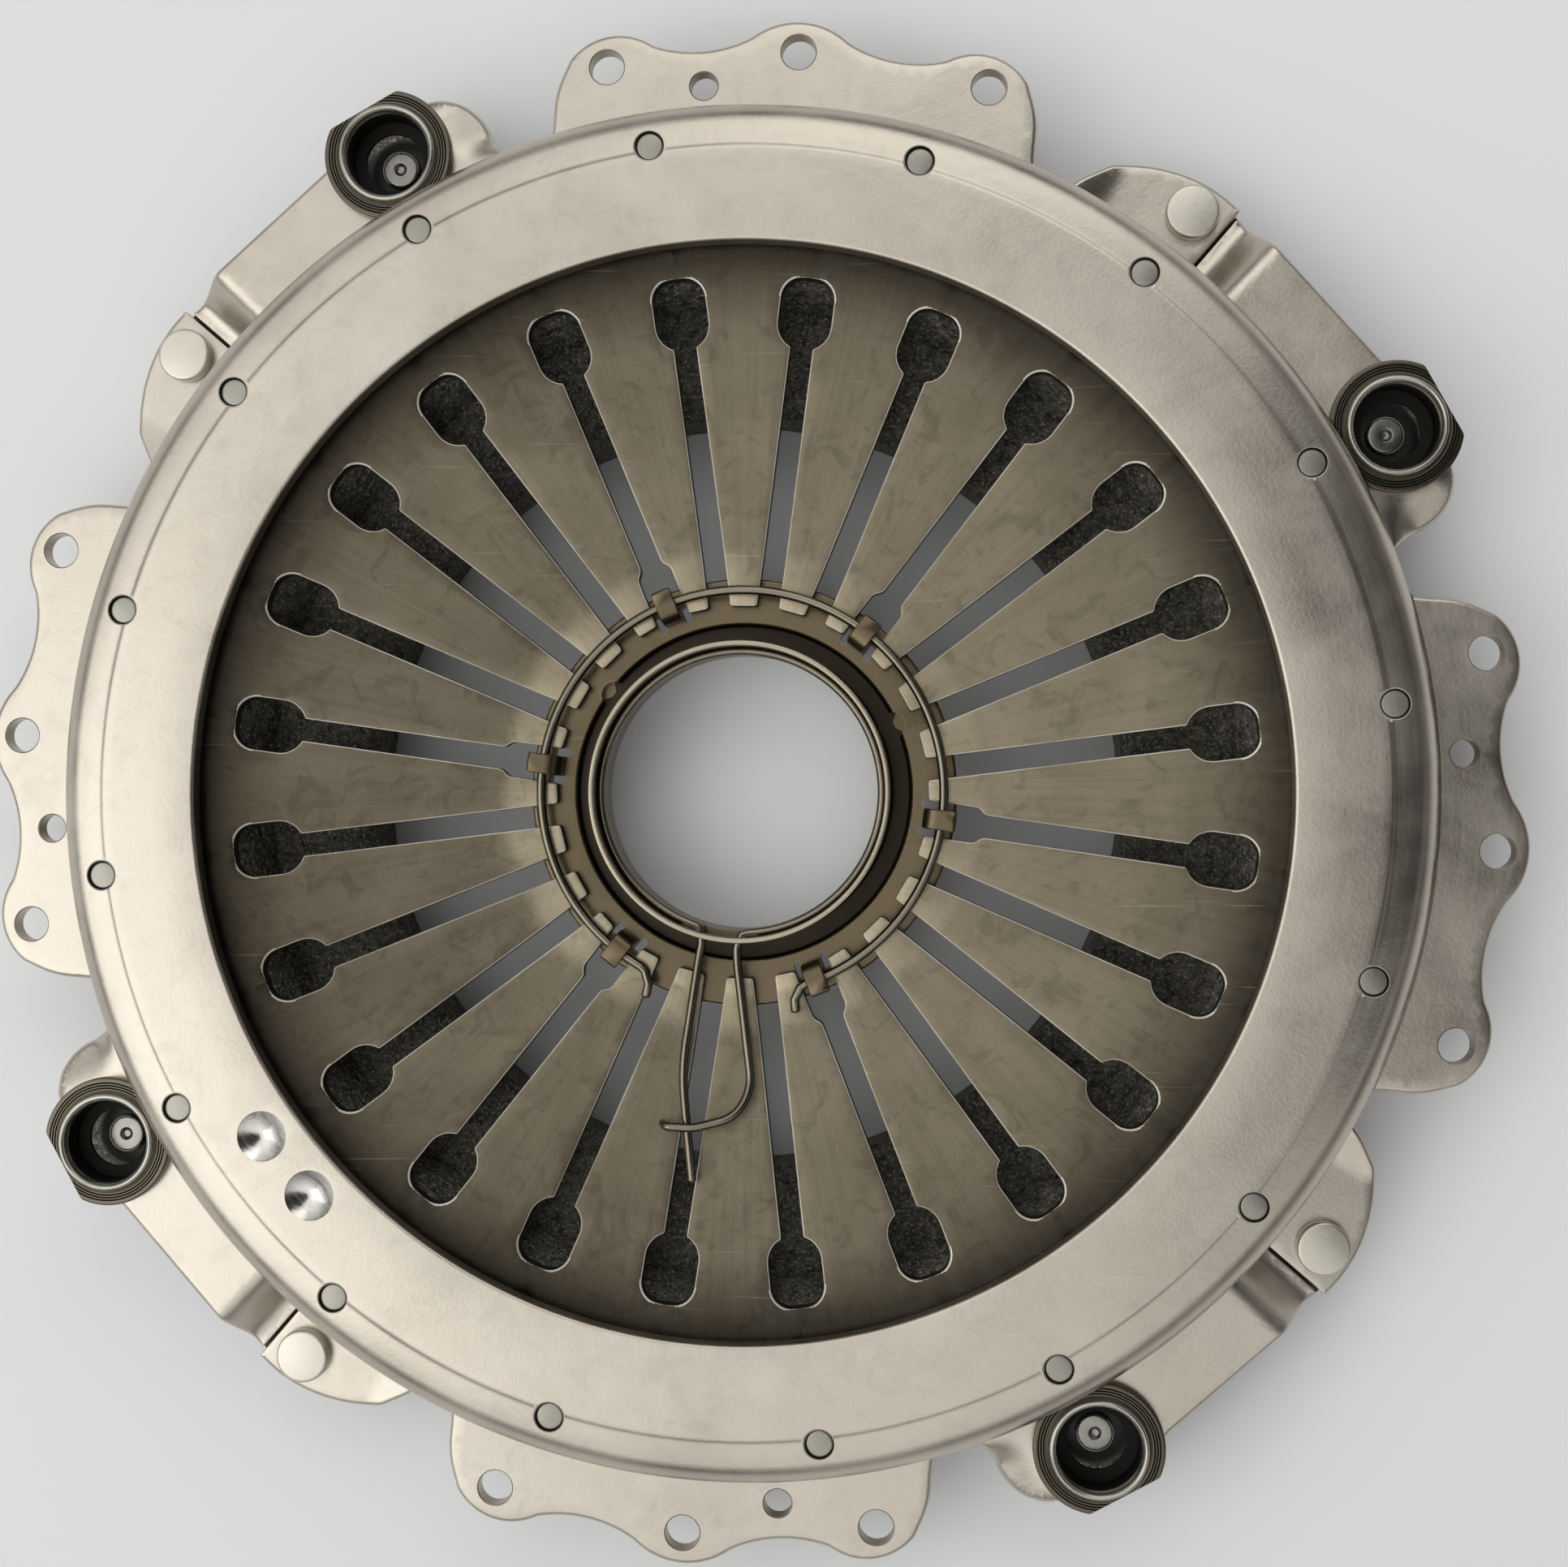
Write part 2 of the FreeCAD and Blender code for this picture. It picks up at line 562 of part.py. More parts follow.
def cover_strap_rivets():
    """Rivets that clamp the leaf packs under the cover's platforms."""
    head = COVER_RIVET_HEAD_D / 2
    closed = CLOSED_HEAD_D / 2
    shank = RIVET_D / 2
    top = PLATFORM_TOP_Z + COVER_RIVET_HEAD_H
    foot_z = LEAF_BOTTOM_Z - CLOSED_HEAD_H
    body = revolved(profile([
        (0, foot_z), (closed - CLOSED_HEAD_EDGE, foot_z), (closed, foot_z + CLOSED_HEAD_EDGE),
        (closed, LEAF_BOTTOM_Z), (shank, LEAF_BOTTOM_Z), (shank, PLATFORM_TOP_Z), (head, PLATFORM_TOP_Z),
        (head, top - COVER_RIVET_EDGE), (head - COVER_RIVET_EDGE, top), (0, top)]))
    return [placed(body, polar(STRAP_R, angle)) for angle in quadrant_angles(STRAP_COVER_ANGLE)]


def plate_strap_rivets():
    """Rivets that clamp the other ends of the leaf packs on the plate's lugs."""
    head = PLATE_RIVET_HEAD_D / 2
    closed = CLOSED_HEAD_D / 2
    shank = RIVET_D / 2
    seat_z = PLATFORM_UNDERSIDE_Z + WASHER_T
    top = seat_z + PLATE_RIVET_HEAD_H
    foot_top = LUG_UNDERSIDE_Z + LUG_COUNTERBORE_H
    body = revolved(profile([
        (0, LUG_UNDERSIDE_Z), (closed, LUG_UNDERSIDE_Z), (closed, foot_top), (shank, foot_top),
        (shank, seat_z), (head, seat_z), (head, top - PLATE_RIVET_DIMPLE_H),
        (head - PLATE_RIVET_DIMPLE_H, top), (PLATE_RIVET_DIMPLE_D / 2, top),
        (0, top - PLATE_RIVET_DIMPLE_H)]))
    return [placed(body, polar(STRAP_R, angle)) for angle in quadrant_angles(STRAP_PLATE_ANGLE)]


def strap_washers():
    """Washers between the plate rivets' upper heads and the leaf packs."""
    washer = ring(RIVET_D / 2, WASHER_D / 2, PLATFORM_UNDERSIDE_Z, PLATFORM_UNDERSIDE_Z + WASHER_T)
    return [placed(washer, polar(STRAP_R, angle)) for angle in quadrant_angles(STRAP_PLATE_ANGLE)]


def stop_sleeve():
    """Flanged sleeve in the raised seat, over the plate rivet, on angle zero."""
    bore = SLEEVE_BORE_D / 2
    flange = SLEEVE_FLANGE_D / 2
    tube = SLEEVE_TUBE_D / 2
    tail_z = SEAT_UNDERSIDE_Z - SLEEVE_TAIL
    flange_z = SEAT_TOP_Z + SLEEVE_FLANGE_T
    rim = [(bore + out, flange_z + up)
           for out, up in (SLEEVE_RIM_SHOULDER, SLEEVE_RIM_CREST, SLEEVE_RIM_THROAT)]
    body = revolved(profile(
        [(bore + SLEEVE_RIM_FOOT, flange_z)] + rim + [(bore, SEAT_TOP_Z), (bore, tail_z), (tube, tail_z)]
        + [(tube, SEAT_TOP_Z), (flange, SEAT_TOP_Z), (flange, flange_z - SLEEVE_FLANGE_EDGE)]
        + [(flange - SLEEVE_FLANGE_EDGE, flange_z)]))
    flats = box(Vector(-SLEEVE_FLATS / 2, -SLEEVE_FLANGE_D, tail_z - THROUGH),
                Vector(SLEEVE_FLATS / 2, SLEEVE_FLANGE_D, flange_z + SHEET))
    return placed(body.common(flats), Vector(STRAP_R, 0, 0))


# Pressure plate

def plate_lug():
    """Ear that carries the moving end of a leaf pack, on angle zero."""
    half_plan = (LUG_ROOT, LUG_SIDE, LUG_SHOULDER, LUG_NOSE)
    root, side, shoulder, nose = [Vector(STRAP_R + reach, y, 0) for reach, y in half_plan]
    root_low, side_low, shoulder_low = [Vector(point.x, -point.y, 0) for point in (root, side, shoulder)]
    wire = Part.Wire([line(root, side), arc(side, shoulder, nose), arc(nose, shoulder_low, side_low),
                      line(side_low, root_low), line(root_low, root)])
    return prism(wire, LUG_UNDERSIDE_Z, LEAF_BOTTOM_Z)


def plate_ring():
    """Turned form of the casting: friction ring, back and fulcrum ridge."""
    ridge_z = spring_top_z(RIDGE_R) - SPRING_DROP - RIDGE_GAP
    half = RIDGE_TOP_W / 2
    crown = RIDGE_CROWN_W / 2
    spread = half + RIDGE_DRAFT_W
    body = revolved(profile([
        (PLATE_BORE_R, 0), (PLATE_R, 0), (PLATE_R, PLATE_RIM_T - PLATE_CHAMFER),
        (PLATE_R - PLATE_CHAMFER, PLATE_RIM_T), (RIB_R_OUT, PLATE_RIM_T),
        (RIB_R_OUT - 2 * PLATE_CHAMFER, PLATE_LAND_Z), (RIDGE_R + spread, PLATE_LAND_Z),
        (RIDGE_R + half, ridge_z - RIDGE_CROWN_H), (RIDGE_R + crown, ridge_z),
        (RIDGE_R - crown, ridge_z), (RIDGE_R - half, ridge_z - RIDGE_CROWN_H),
        (RIDGE_R - spread, PLATE_LAND_Z), (PLATE_BORE_R + PLATE_CHAMFER, PLATE_LAND_Z),
        (PLATE_BORE_R, PLATE_LAND_Z - PLATE_CHAMFER)]))
    gap = box(Vector(RIDGE_R - spread, -RIDGE_BREAK_W / 2, RIDGE_BREAK_Z),
              Vector(RIDGE_R + spread, RIDGE_BREAK_W / 2, COVER_TOP_Z))
    step = 2 * HALF_TURN / RIDGE_BREAKS
    return body.cut(Part.makeCompound([turned(gap, step * k) for k in range(RIDGE_BREAKS)]))


def plate_rib():
    """Web from the fulcrum ridge to the rim of the casting, on angle zero."""
    inner = RIDGE_R + RIDGE_TOP_W / 2
    side = profile([(inner, PLATE_RIM_T), (inner, RIB_ROOT_Z), (inner + RIDGE_DRAFT_W, RIB_Z),
                    (RIB_R_OUT, PLATE_LAND_Z), (RIB_R_OUT, PLATE_RIM_T)])
    return placed(Part.Face(side).extrude(Vector(0, RIB_T, 0)), Vector(0, -RIB_T / 2, 0))


def pressure_plate():
    """Cast ring with a broken fulcrum ridge, stiffening ribs and four lugs."""
    step = 2 * HALF_TURN / RIB_COUNT
    pieces = [plate_ring()]
    pieces += [turned(plate_rib(), step * k + step / 2) for k in range(RIB_COUNT)]
    pieces += [turned(plate_lug(), angle) for angle in quadrant_angles(STRAP_PLATE_ANGLE)]
    holes = []
    for angle in quadrant_angles(STRAP_PLATE_ANGLE):
        place = polar(STRAP_R, angle)
        foot_top = LUG_UNDERSIDE_Z + LUG_COUNTERBORE_H
        holes.append(cylinder(RIVET_D / 2, LUG_UNDERSIDE_Z - THROUGH, LEAF_BOTTOM_Z + THROUGH, place))
        holes.append(cylinder(CLOSED_HEAD_D / 2, LUG_UNDERSIDE_Z - THROUGH, foot_top, place))
    return fused(pieces).cut(Part.makeCompound(holes))


# Release ring and its wires

def hook():
    """Lug bent up through a finger slot and out over the retaining wire, on angle zero."""
    root_z = RING_TOP_Z - RING_FLANGE_T
    low = WIRE_Z + WIRE_D / 2 + WIRE_SEAT_GAP
    centre_r = HOOK_ROOT_R + HOOK_T + HOOK_BEND
    centre_z = low - HOOK_BEND
    outside = bend(centre_r, centre_z, HOOK_BEND + HOOK_T, HALF_TURN, QUARTER_TURN)
    inside = bend(centre_r, centre_z, HOOK_BEND, QUARTER_TURN, HALF_TURN)
    nose = [(HOOK_NOSE_R, low + HOOK_T), (HOOK_NOSE_R, low)]
    stem = [(HOOK_ROOT_R + HOOK_T, root_z), (HOOK_ROOT_R, root_z)]
    face = Part.Face(profile(outside + nose + inside + stem))
    return placed(face.extrude(Vector(0, HOOK_W, 0)), Vector(0, -HOOK_W / 2, 0))


def relief_slot(offset):
    """Slot beside a hook, open through the flange of the ring, near angle zero."""
    bottom = RING_TOP_Z - RING_FLANGE_T - THROUGH
    top = RING_TOP_Z + THROUGH
    half = HOOK_RELIEF_W / 2
    slot = box(Vector(HOOK_ROOT_R, offset - half, bottom), Vector(HOOK_RELIEF_R, offset + half, top))
    return slot.fuse(cylinder(half, bottom, top, Vector(HOOK_ROOT_R, offset, 0)))


def release_ring():
    """Collar for the release bearing, flange under the finger tips and six hooks."""
    flange_z = RING_TOP_Z - RING_FLANGE_T
    groove_z = RING_TOP_Z - RING_GROOVE_DEPTH
    snap_low = SNAP_Z - SNAP_D / 2 - SNAP_GROOVE_GAP
    snap_high = SNAP_Z + SNAP_D / 2 + SNAP_GROOVE_GAP
    snap_r = SNAP_R + SNAP_D / 2 + SNAP_GROOVE_GAP
    body = revolved(profile([
        (COLLAR_BORE_R, COLLAR_FOOT_Z), (RING_GROOVE_R, COLLAR_FOOT_Z), (RING_GROOVE_R, flange_z),
        (RING_FLANGE_R, flange_z), (RING_FLANGE_R, RING_TOP_Z), (RING_GROOVE_R, RING_TOP_Z),
        (RING_GROOVE_R, groove_z), (COLLAR_R, groove_z), (COLLAR_R, COLLAR_TOP_Z - COLLAR_EDGE),
        (COLLAR_R - COLLAR_EDGE, COLLAR_TOP_Z), (COLLAR_MOUTH_R, COLLAR_TOP_Z),
        (COLLAR_MOUTH_R, snap_high), (snap_r, snap_high), (snap_r, snap_low),
        (COLLAR_BORE_R, snap_low)]))
    notch_r = RING_GROOVE_R - NOTCH_SETBACK
    tools = [cylinder(NOTCH_D / 2, groove_z, RING_TOP_Z + THROUGH, polar(notch_r, angle))
             for angle in NOTCH_ANGLES]
    window = box(Vector(COLLAR_BORE_R - NOTCH_D / 2, -LEG_WINDOW_W / 2, SNAP_Z - LEG_WINDOW_H / 2),
                 Vector(COLLAR_R + NOTCH_D, LEG_WINDOW_W / 2, SNAP_Z + LEG_WINDOW_H / 2))
    tools.append(turned(window, LEG_WINDOW_ANGLE))
    hooks = []
    for k in range(HOOKS):
        angle = HOOK_ANGLE + 2 * HALF_TURN / HOOKS * k
        hooks.append(turned(hook(), angle))
        tools += [turned(relief_slot(side * (HOOK_W + HOOK_RELIEF_W) / 2), angle) for side in (-1, 1)]
    return fused([body.cut(Part.makeCompound(tools))] + hooks)


def wire_section(thickness):
    """Eight-sided section of a wire, in the R-Z plane about the origin."""
    points = []
    for k in range(WIRE_SIDES):
        turn = 2 * math.pi * (k + 1 / 2) / WIRE_SIDES
        points.append(Vector(thickness / 2 * math.cos(turn), 0, thickness / 2 * math.sin(turn)))
    return outline(points)


def wire_arc(radius, thickness, sweep):
    """Bent wire: it starts on +X, heads along +Y and bends about the origin."""
    return revolved(placed(wire_section(thickness), Vector(radius, 0, 0)), sweep)


def retaining_wire():
    """Open wire ring on the fingers, under the hooks, with both ends turned out."""
    turn = wire_arc(WIRE_END_R, WIRE_D, WIRE_END_TURN)
    end = Vector(WIRE_R + WIRE_END_R, 0, 0)
    near = placed(turned(turn, HALF_TURN), end)
    far = placed(turned(turn, HALF_TURN - WIRE_END_TURN), end)
    whole = fused([wire_arc(WIRE_R, WIRE_D, WIRE_SWEEP), near, turned(far, WIRE_SWEEP)])
    return placed(turned(whole, WIRE_START), Vector(0, 0, WIRE_Z))


def wire_leg(points, thickness):
    """Wire along straight runs with mitred corners."""
    run = (points[1] - points[0]).normalize()
    section = wire_section(thickness)
    axis = Vector(0, 1, 0)
    section.rotate(ORIGIN, axis.cross(run), math.degrees(axis.getAngle(run)))
    path = Part.Wire(Part.makePolygon(points).Edges)
    sweep = Part.BRepOffsetAPI.MakePipeShell(path)
    sweep.setTransitionMode(1)
    sweep.add(placed(section, points[0]))
    sweep.build()
    sweep.makeSolid()
    return sweep.shape()


def snap_ring():
    """Snap ring in the collar's groove, its two legs crossing outside the window."""
    turn = math.degrees(math.atan2(SNAP_TURN_R, SNAP_R + SNAP_TURN_R))
    left, right = SNAP_LEG_ANGLES
    sweep = 2 * HALF_TURN - (right - left) - 2 * turn
    corner = wire_arc(SNAP_TURN_R, SNAP_D, QUARTER_TURN)
    end = Vector(SNAP_R + SNAP_TURN_R, 0, 0)
    near = placed(turned(corner, HALF_TURN), end)
    far = placed(turned(corner, QUARTER_TURN), end)
    hoop = fused([wire_arc(SNAP_R, SNAP_D, sweep), near, turned(far, sweep)])
    hoop = placed(turned(hoop, right + turn), Vector(0, 0, SNAP_Z))
    exit_r = math.hypot(SNAP_R + SNAP_TURN_R, SNAP_TURN_R) - SNAP_GROOVE_GAP
    legs = []
    for angle, bends in ((left, SNAP_LONG_LEG), (right, SNAP_SHORT_LEG)):
        points = [polar(exit_r, angle, SNAP_Z)]
        for reach, at, rise in bends:
            radius = SNAP_R + reach
            points.append(polar(radius, at, spring_top_z(radius) + rise))
        legs.append(wire_leg(points, SNAP_D))
    return fused([hoop] + legs)


def build():
    nodes = {
        "cover": cover(),
        "centring_pins": centring_pins(),
        "diaphragm_spring": diaphragm_spring(),
        "cover_strap_rivets": cover_strap_rivets(),
        "plate_strap_rivets": plate_strap_rivets(),
        "strap_washers": strap_washers(),
        "pressure_plate": pressure_plate(),
        "release_ring": release_ring(),
        "retaining_wire": retaining_wire(),
        "snap_ring": snap_ring(),
    }
    for number, angle in enumerate(quadrant_angles(0), 1):
        nodes[f"stop_sleeve_{number}"] = turned(stop_sleeve(), angle + STRAP_PLATE_ANGLE)
        for layer in range(LEAVES):
            nodes[f"leaf_spring_{number}_{layer + 1}"] = turned(leaf(layer), angle)
    os.makedirs("parts", exist_ok=True)
    for name, shape in nodes.items():
        solid = Part.makeCompound(shape) if isinstance(shape, list) else shape
        solid.exportStep(f"parts/{name}.step")
        print(name, len(solid.Solids), solid.isValid(), round(solid.Volume))


build()
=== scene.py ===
import math

import bpy
import numpy as np
from mathutils import Matrix, Vector
from mathutils.geometry import delaunay_2d_cdt


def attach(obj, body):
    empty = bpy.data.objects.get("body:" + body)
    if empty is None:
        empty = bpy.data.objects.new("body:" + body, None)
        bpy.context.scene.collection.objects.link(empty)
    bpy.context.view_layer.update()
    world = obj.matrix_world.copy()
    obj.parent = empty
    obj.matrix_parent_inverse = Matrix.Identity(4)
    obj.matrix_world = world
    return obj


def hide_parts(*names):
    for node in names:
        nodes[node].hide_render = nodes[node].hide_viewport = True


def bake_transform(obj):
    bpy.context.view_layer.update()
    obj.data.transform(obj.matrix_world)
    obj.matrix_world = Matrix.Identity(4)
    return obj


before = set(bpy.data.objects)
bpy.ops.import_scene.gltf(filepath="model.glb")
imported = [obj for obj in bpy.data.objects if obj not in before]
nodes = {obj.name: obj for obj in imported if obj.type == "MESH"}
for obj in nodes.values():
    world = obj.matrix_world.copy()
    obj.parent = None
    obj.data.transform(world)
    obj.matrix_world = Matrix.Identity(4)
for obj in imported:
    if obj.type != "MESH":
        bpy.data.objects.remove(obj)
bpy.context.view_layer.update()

MM = 0.001

# Plan and heights of the part in millimetres, angles in degrees

# Cover: dome
QUARTERS = 4
SHEET = 6.0
WALL_R = 204.0
COVER_TOP = 57.0
INNER_TOP = COVER_TOP - SHEET
OPENING_R = 161.4
CREASE_R = 190.0
SHOULDER_SLOPE = 0.2
SHOULDER_BEND = 9.3
NECK_Z = 33.0
SKIRT_Z = 43.0
DRILL_R = 173.5
DRILL_ANGLES = (216.05, 223.5)

# Cover: tabs, platforms and seats
TAB_ANGLE = 85.5
TAB_HALF = 21.2
TAB_TOP = 34.0
BOLT_R = 225.0
BOLT_HOLE = 5.25
BOLT_STEPS = (-15, 0, 15)
DOWEL_R = BOLT_R - 10
DOWEL_HOLE = 4.25
DOWEL_STEP = 7.5
SLIT_ANGLE = 49.3
SLIT_WIDTH = 0.22
PLATFORM_TOP = 28.0
PLATFORM_END = 62.4
SEAT_TOP = 39.0
SEAT_START = 20.0
SEAT_HOLE = 14.7
EDGE_ROUND = 1.5
FOOT_BEND = 4.0
SEAT_BEND = 1.8

# Leaf springs with their rivets and sleeves
STRAP_R = 221.0
STRAP_COVER_ANGLE = 52.0
STRAP_PLATE_ANGLE = 28.9
LEAF_TOP = 22.0
LEAF_T = 1.2
LEAF_HALF = 11.0
LEAF_HOLE = 5.15
SLEEVE_BORE = 12.3
SLEEVE_FLAT = 15.5
FLANGE_FOOT = 39.0
FLANGE_TOP = 42.5
GROOVE_RADII = (17.9, 17.1, 16.3)
GROOVE_DEPTH = 0.32

# Centring pins
PIN_R = 191.6
PIN_D = 8.4
PIN_FOOT = 44.0
PIN_TOP = 54.6
PIN_STEPS = (-33, -11, 11, 33)
CHAMFER_R = PIN_D / 2 + 1.2

# Diaphragm
FINGERS = 24
PITCH = 360 / FINGERS
SLOT_ANGLE = 6.9
FULCRUM_R = 183.0
FULCRUM_Z = 48.8
SLOPE = 0.165
SPRING_T = 5.03
SPRING_RIM = 186.9
WINDOW_END = 154.5
BEND_R = 74.0
TIP_R = 56.7
FINGER_TOP = 30.815

# Release ring and wires
HOOKS = 6
HOOK_ANGLE = 51.9
HOOK_HALF = 3.0
RING_FOOT = 20.615
RING_TOP = 25.615
WIRE_R = 61.4
WIRE_Z = 32.365
WIRE_ROD = 1.45
SNAP_R = 42.8
SNAP_Z = 33.215
SNAP_ROD = 1.35

# Camera: the photograph's width and focal length in its pixels, place in metres
PHOTO_WIDTH = 1932
FOCAL = 2500
SENSOR = 36.0
CAMERA_PLACE = (0.058, -0.0024, 0.646)
CAMERA_AIM = (-0.073, 0.008, -0.9973)


# Small helpers

def polar(radius, angle):
    """Point in plan from radius and angle."""
    turn = math.radians(angle)
    return radius * math.cos(turn), radius * math.sin(turn)


def polar3(radius, angle, z):
    x, y = polar(radius, angle)
    return Vector((x, y, z))


def smooth(value):
    value = np.clip(value, 0.0, 1.0)
    return value * value * (3 - 2 * value)


def piece(name, verts, faces, material, body=None, slot=None, sharp=35):
    """Mesh object from points in millimetres, riding on a body."""
    mesh = bpy.data.meshes.new(name)
    mesh.from_pydata([tuple(c * MM for c in v) for v in verts], [], faces)
    mesh.validate()
    mesh.polygons.foreach_set("use_smooth", [True] * len(mesh.polygons))
    mesh.set_sharp_from_angle(angle=math.radians(sharp))
    mesh.materials.append(material)
    made = bpy.data.objects.new(name, mesh)
    bpy.context.scene.collection.objects.link(made)
    if body:
        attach(made, body)
    return made


def joined(parts):
    """One list of points and faces from several."""
    verts, faces = [], []
    for part_verts, part_faces in parts:
        base = len(verts)
        verts += [tuple(v) for v in part_verts]
        faces += [tuple(i + base for i in f) for f in part_faces]
    return verts, faces


def moved(part, angle=0.0, shift=(0, 0, 0)):
    """Part turned about the Z axis and then shifted."""
    verts, faces = part
    c, s = math.cos(math.radians(angle)), math.sin(math.radians(angle))
    turned = [(x * c - y * s + shift[0], x * s + y * c + shift[1], z + shift[2]) for x, y, z in verts]
    return turned, faces


def add_slots(made, *materials):
    for extra in materials:
        made.data.materials.append(extra)


def corner_points(before, here, after, radius, steps, limit):
    """Points of a corner that is rounded off, using up at most a share of the edges beside it."""
    reach = min(radius, (before - here).length * limit, (after - here).length * limit)
    a = here + (before - here).normalized() * reach
    b = here + (after - here).normalized() * reach
    shares = [k / steps for k in range(steps + 1)]
    return [a * (1 - t) ** 2 + here * 2 * t * (1 - t) + b * t * t for t in shares]


def rounded(points, radii, steps=5):
    """Closed profile whose corners are rounded, each by its own radius."""
    out = []
    count = len(points)
    for i in range(count):
        before, here, after = [Vector(points[k % count]) for k in (i - 1, i, i + 1)]
        if radii[i] <= 0 or (before - here).length < 1e-6 or (after - here).length < 1e-6:
            out.append(tuple(here))
        else:
            out += [tuple(p) for p in corner_points(before, here, after, radii[i], steps, 0.49)]
    return out


def eased(points, radii, steps=6):
    """Open path whose inner corners are rounded."""
    out = [Vector(points[0])]
    for i in range(1, len(points) - 1):
        out += corner_points(*[Vector(points[k]) for k in (i - 1, i, i + 1)], radii[i], steps, 0.48)
    return out + [Vector(points[-1])]


def lathe(profile, segments, start=0.0, sweep=360.0):
    """Turned body: a closed profile of radius and height swept about the Z axis."""
    whole = abs(sweep - 360.0) < 1e-6
    columns = segments if whole else segments + 1
    count = len(profile)
    verts = []
    for i in range(columns):
        turn = math.radians(start + sweep * i / segments)
        verts += [(r * math.cos(turn), r * math.sin(turn), z) for r, z in profile]
    faces = []
    for i in range(segments):
        j = (i + 1) % columns
        for k in range(count):
            m = (k + 1) % count
            faces.append((i * count + k, j * count + k, j * count + m, i * count + m))
    if not whole:
        faces.append(tuple(range(count - 1, -1, -1)))
        faces.append(tuple((columns - 1) * count + k for k in range(count)))
    return verts, faces


def spindle(profile, segments):
    """Turned body that meets the axis: an open profile from the axis back to the axis."""
    verts = [(0, 0, profile[0][1])]
    inner = profile[1:-1]
    count = len(inner)
    for i in range(segments):
        turn = 2 * math.pi * i / segments
        verts += [(r * math.cos(turn), r * math.sin(turn), z) for r, z in inner]
    verts.append((0, 0, profile[-1][1]))
    last = len(verts) - 1
    faces = []
    for i in range(segments):
        j = (i + 1) % segments
        a, b = 1 + i * count, 1 + j * count
        faces.append((0, b, a))
        faces += [(a + k, b + k, b + k + 1, a + k + 1) for k in range(count - 1)]
        faces.append((a + count - 1, b + count - 1, last))
    return verts, faces


def banded(rows, count):
    """Faces between rows of points, with both ends closed."""
    faces = []
    for i in range(rows - 1):
        for k in range(count):
            m = (k + 1) % count
            faces.append((i * count + k, i * count + m, (i + 1) * count + m, (i + 1) * count + k))
    return faces + [tuple(range(count - 1, -1, -1)), tuple(range((rows - 1) * count, rows * count))]


def tube(path, radius, sides=16):
    """Round wire along a list of points, with domed ends."""
    path = [Vector(p) for p in path]
    tangents = []
    for i, here in enumerate(path):
        before, after = path[max(i - 1, 0)], path[min(i + 1, len(path) - 1)]
        tangents.append((after - before).normalized())
    normal = tangents[0].orthogonal().normalized()
    rings = []
    for here, tangent in zip(path, tangents):
        normal = (normal - tangent * normal.dot(tangent)).normalized()
        rings.append((here, tangent, normal))
    verts = []

    def ring(centre, tangent, across, size):
        other = tangent.cross(across)
        for k in range(sides):
            turn = 2 * math.pi * k / sides
            verts.append(tuple(centre + (across * math.cos(turn) + other * math.sin(turn)) * size))

    first, last = rings[0], rings[-1]
    for step in (0.25, 0.6, 0.85):
        depth = radius * 0.6 * math.sqrt(1 - step * step)
        ring(first[0] - first[1] * depth, first[1], first[2], radius * step)
    for centre, tangent, across in rings:
        ring(centre, tangent, across, radius)
    for step in (0.85, 0.6, 0.25):
        depth = radius * 0.6 * math.sqrt(1 - step * step)
        ring(last[0] + last[1] * depth, last[1], last[2], radius * step)
    return verts, banded(len(verts) // sides, sides)


def arc3(p1, p2, p3, count):
    """Points of the circle through three points in the plane, without the last one."""
    (ax, ay), (bx, by), (cx, cy) = p1, p2, p3
    d = 2 * (ax * (by - cy) + bx * (cy - ay) + cx * (ay - by))
    a2, b2, c2 = ax**2 + ay**2, bx**2 + by**2, cx**2 + cy**2
    ux = (a2 * (by - cy) + b2 * (cy - ay) + c2 * (ay - by)) / d
    uy = (a2 * (cx - bx) + b2 * (ax - cx) + c2 * (bx - ax)) / d
    start = math.atan2(ay - uy, ax - ux)
    middle = math.atan2(by - uy, bx - ux)
    end = math.atan2(cy - uy, cx - ux)
    radius = math.hypot(ax - ux, ay - uy)
    ccw = (middle - start) % (2 * math.pi) < (end - start) % (2 * math.pi)
    sweep = (end - start) % (2 * math.pi) if ccw else -((start - end) % (2 * math.pi))
    turns = [start + sweep * k / count for k in range(count)]
    return [(ux + radius * math.cos(turn), uy + radius * math.sin(turn)) for turn in turns]


def dense(points, step):
    """Closed outline with extra points on its long edges."""
    out = []
    for i, here in enumerate(points):
        there = points[(i + 1) % len(points)]
        length = math.hypot(there[0] - here[0], there[1] - here[1])
        count = max(1, int(round(length / step)))
        for k in range(count):
            t = k / count
            out.append((here[0] + (there[0] - here[0]) * t, here[1] + (there[1] - here[1]) * t))
    return out


def inside(points, loop):
    """Which points lie inside a closed loop."""
    x, y = points[:, 0], points[:, 1]
    found = np.zeros(len(points), bool)
    for (ax, ay), (bx, by) in zip(loop, np.roll(loop, -1, axis=0)):
        if ay == by:
            continue
        crosses = (ay > y) != (by > y)
        found ^= crosses & (x < (bx - ax) * (y - ay) / (by - ay) + ax)
    return found


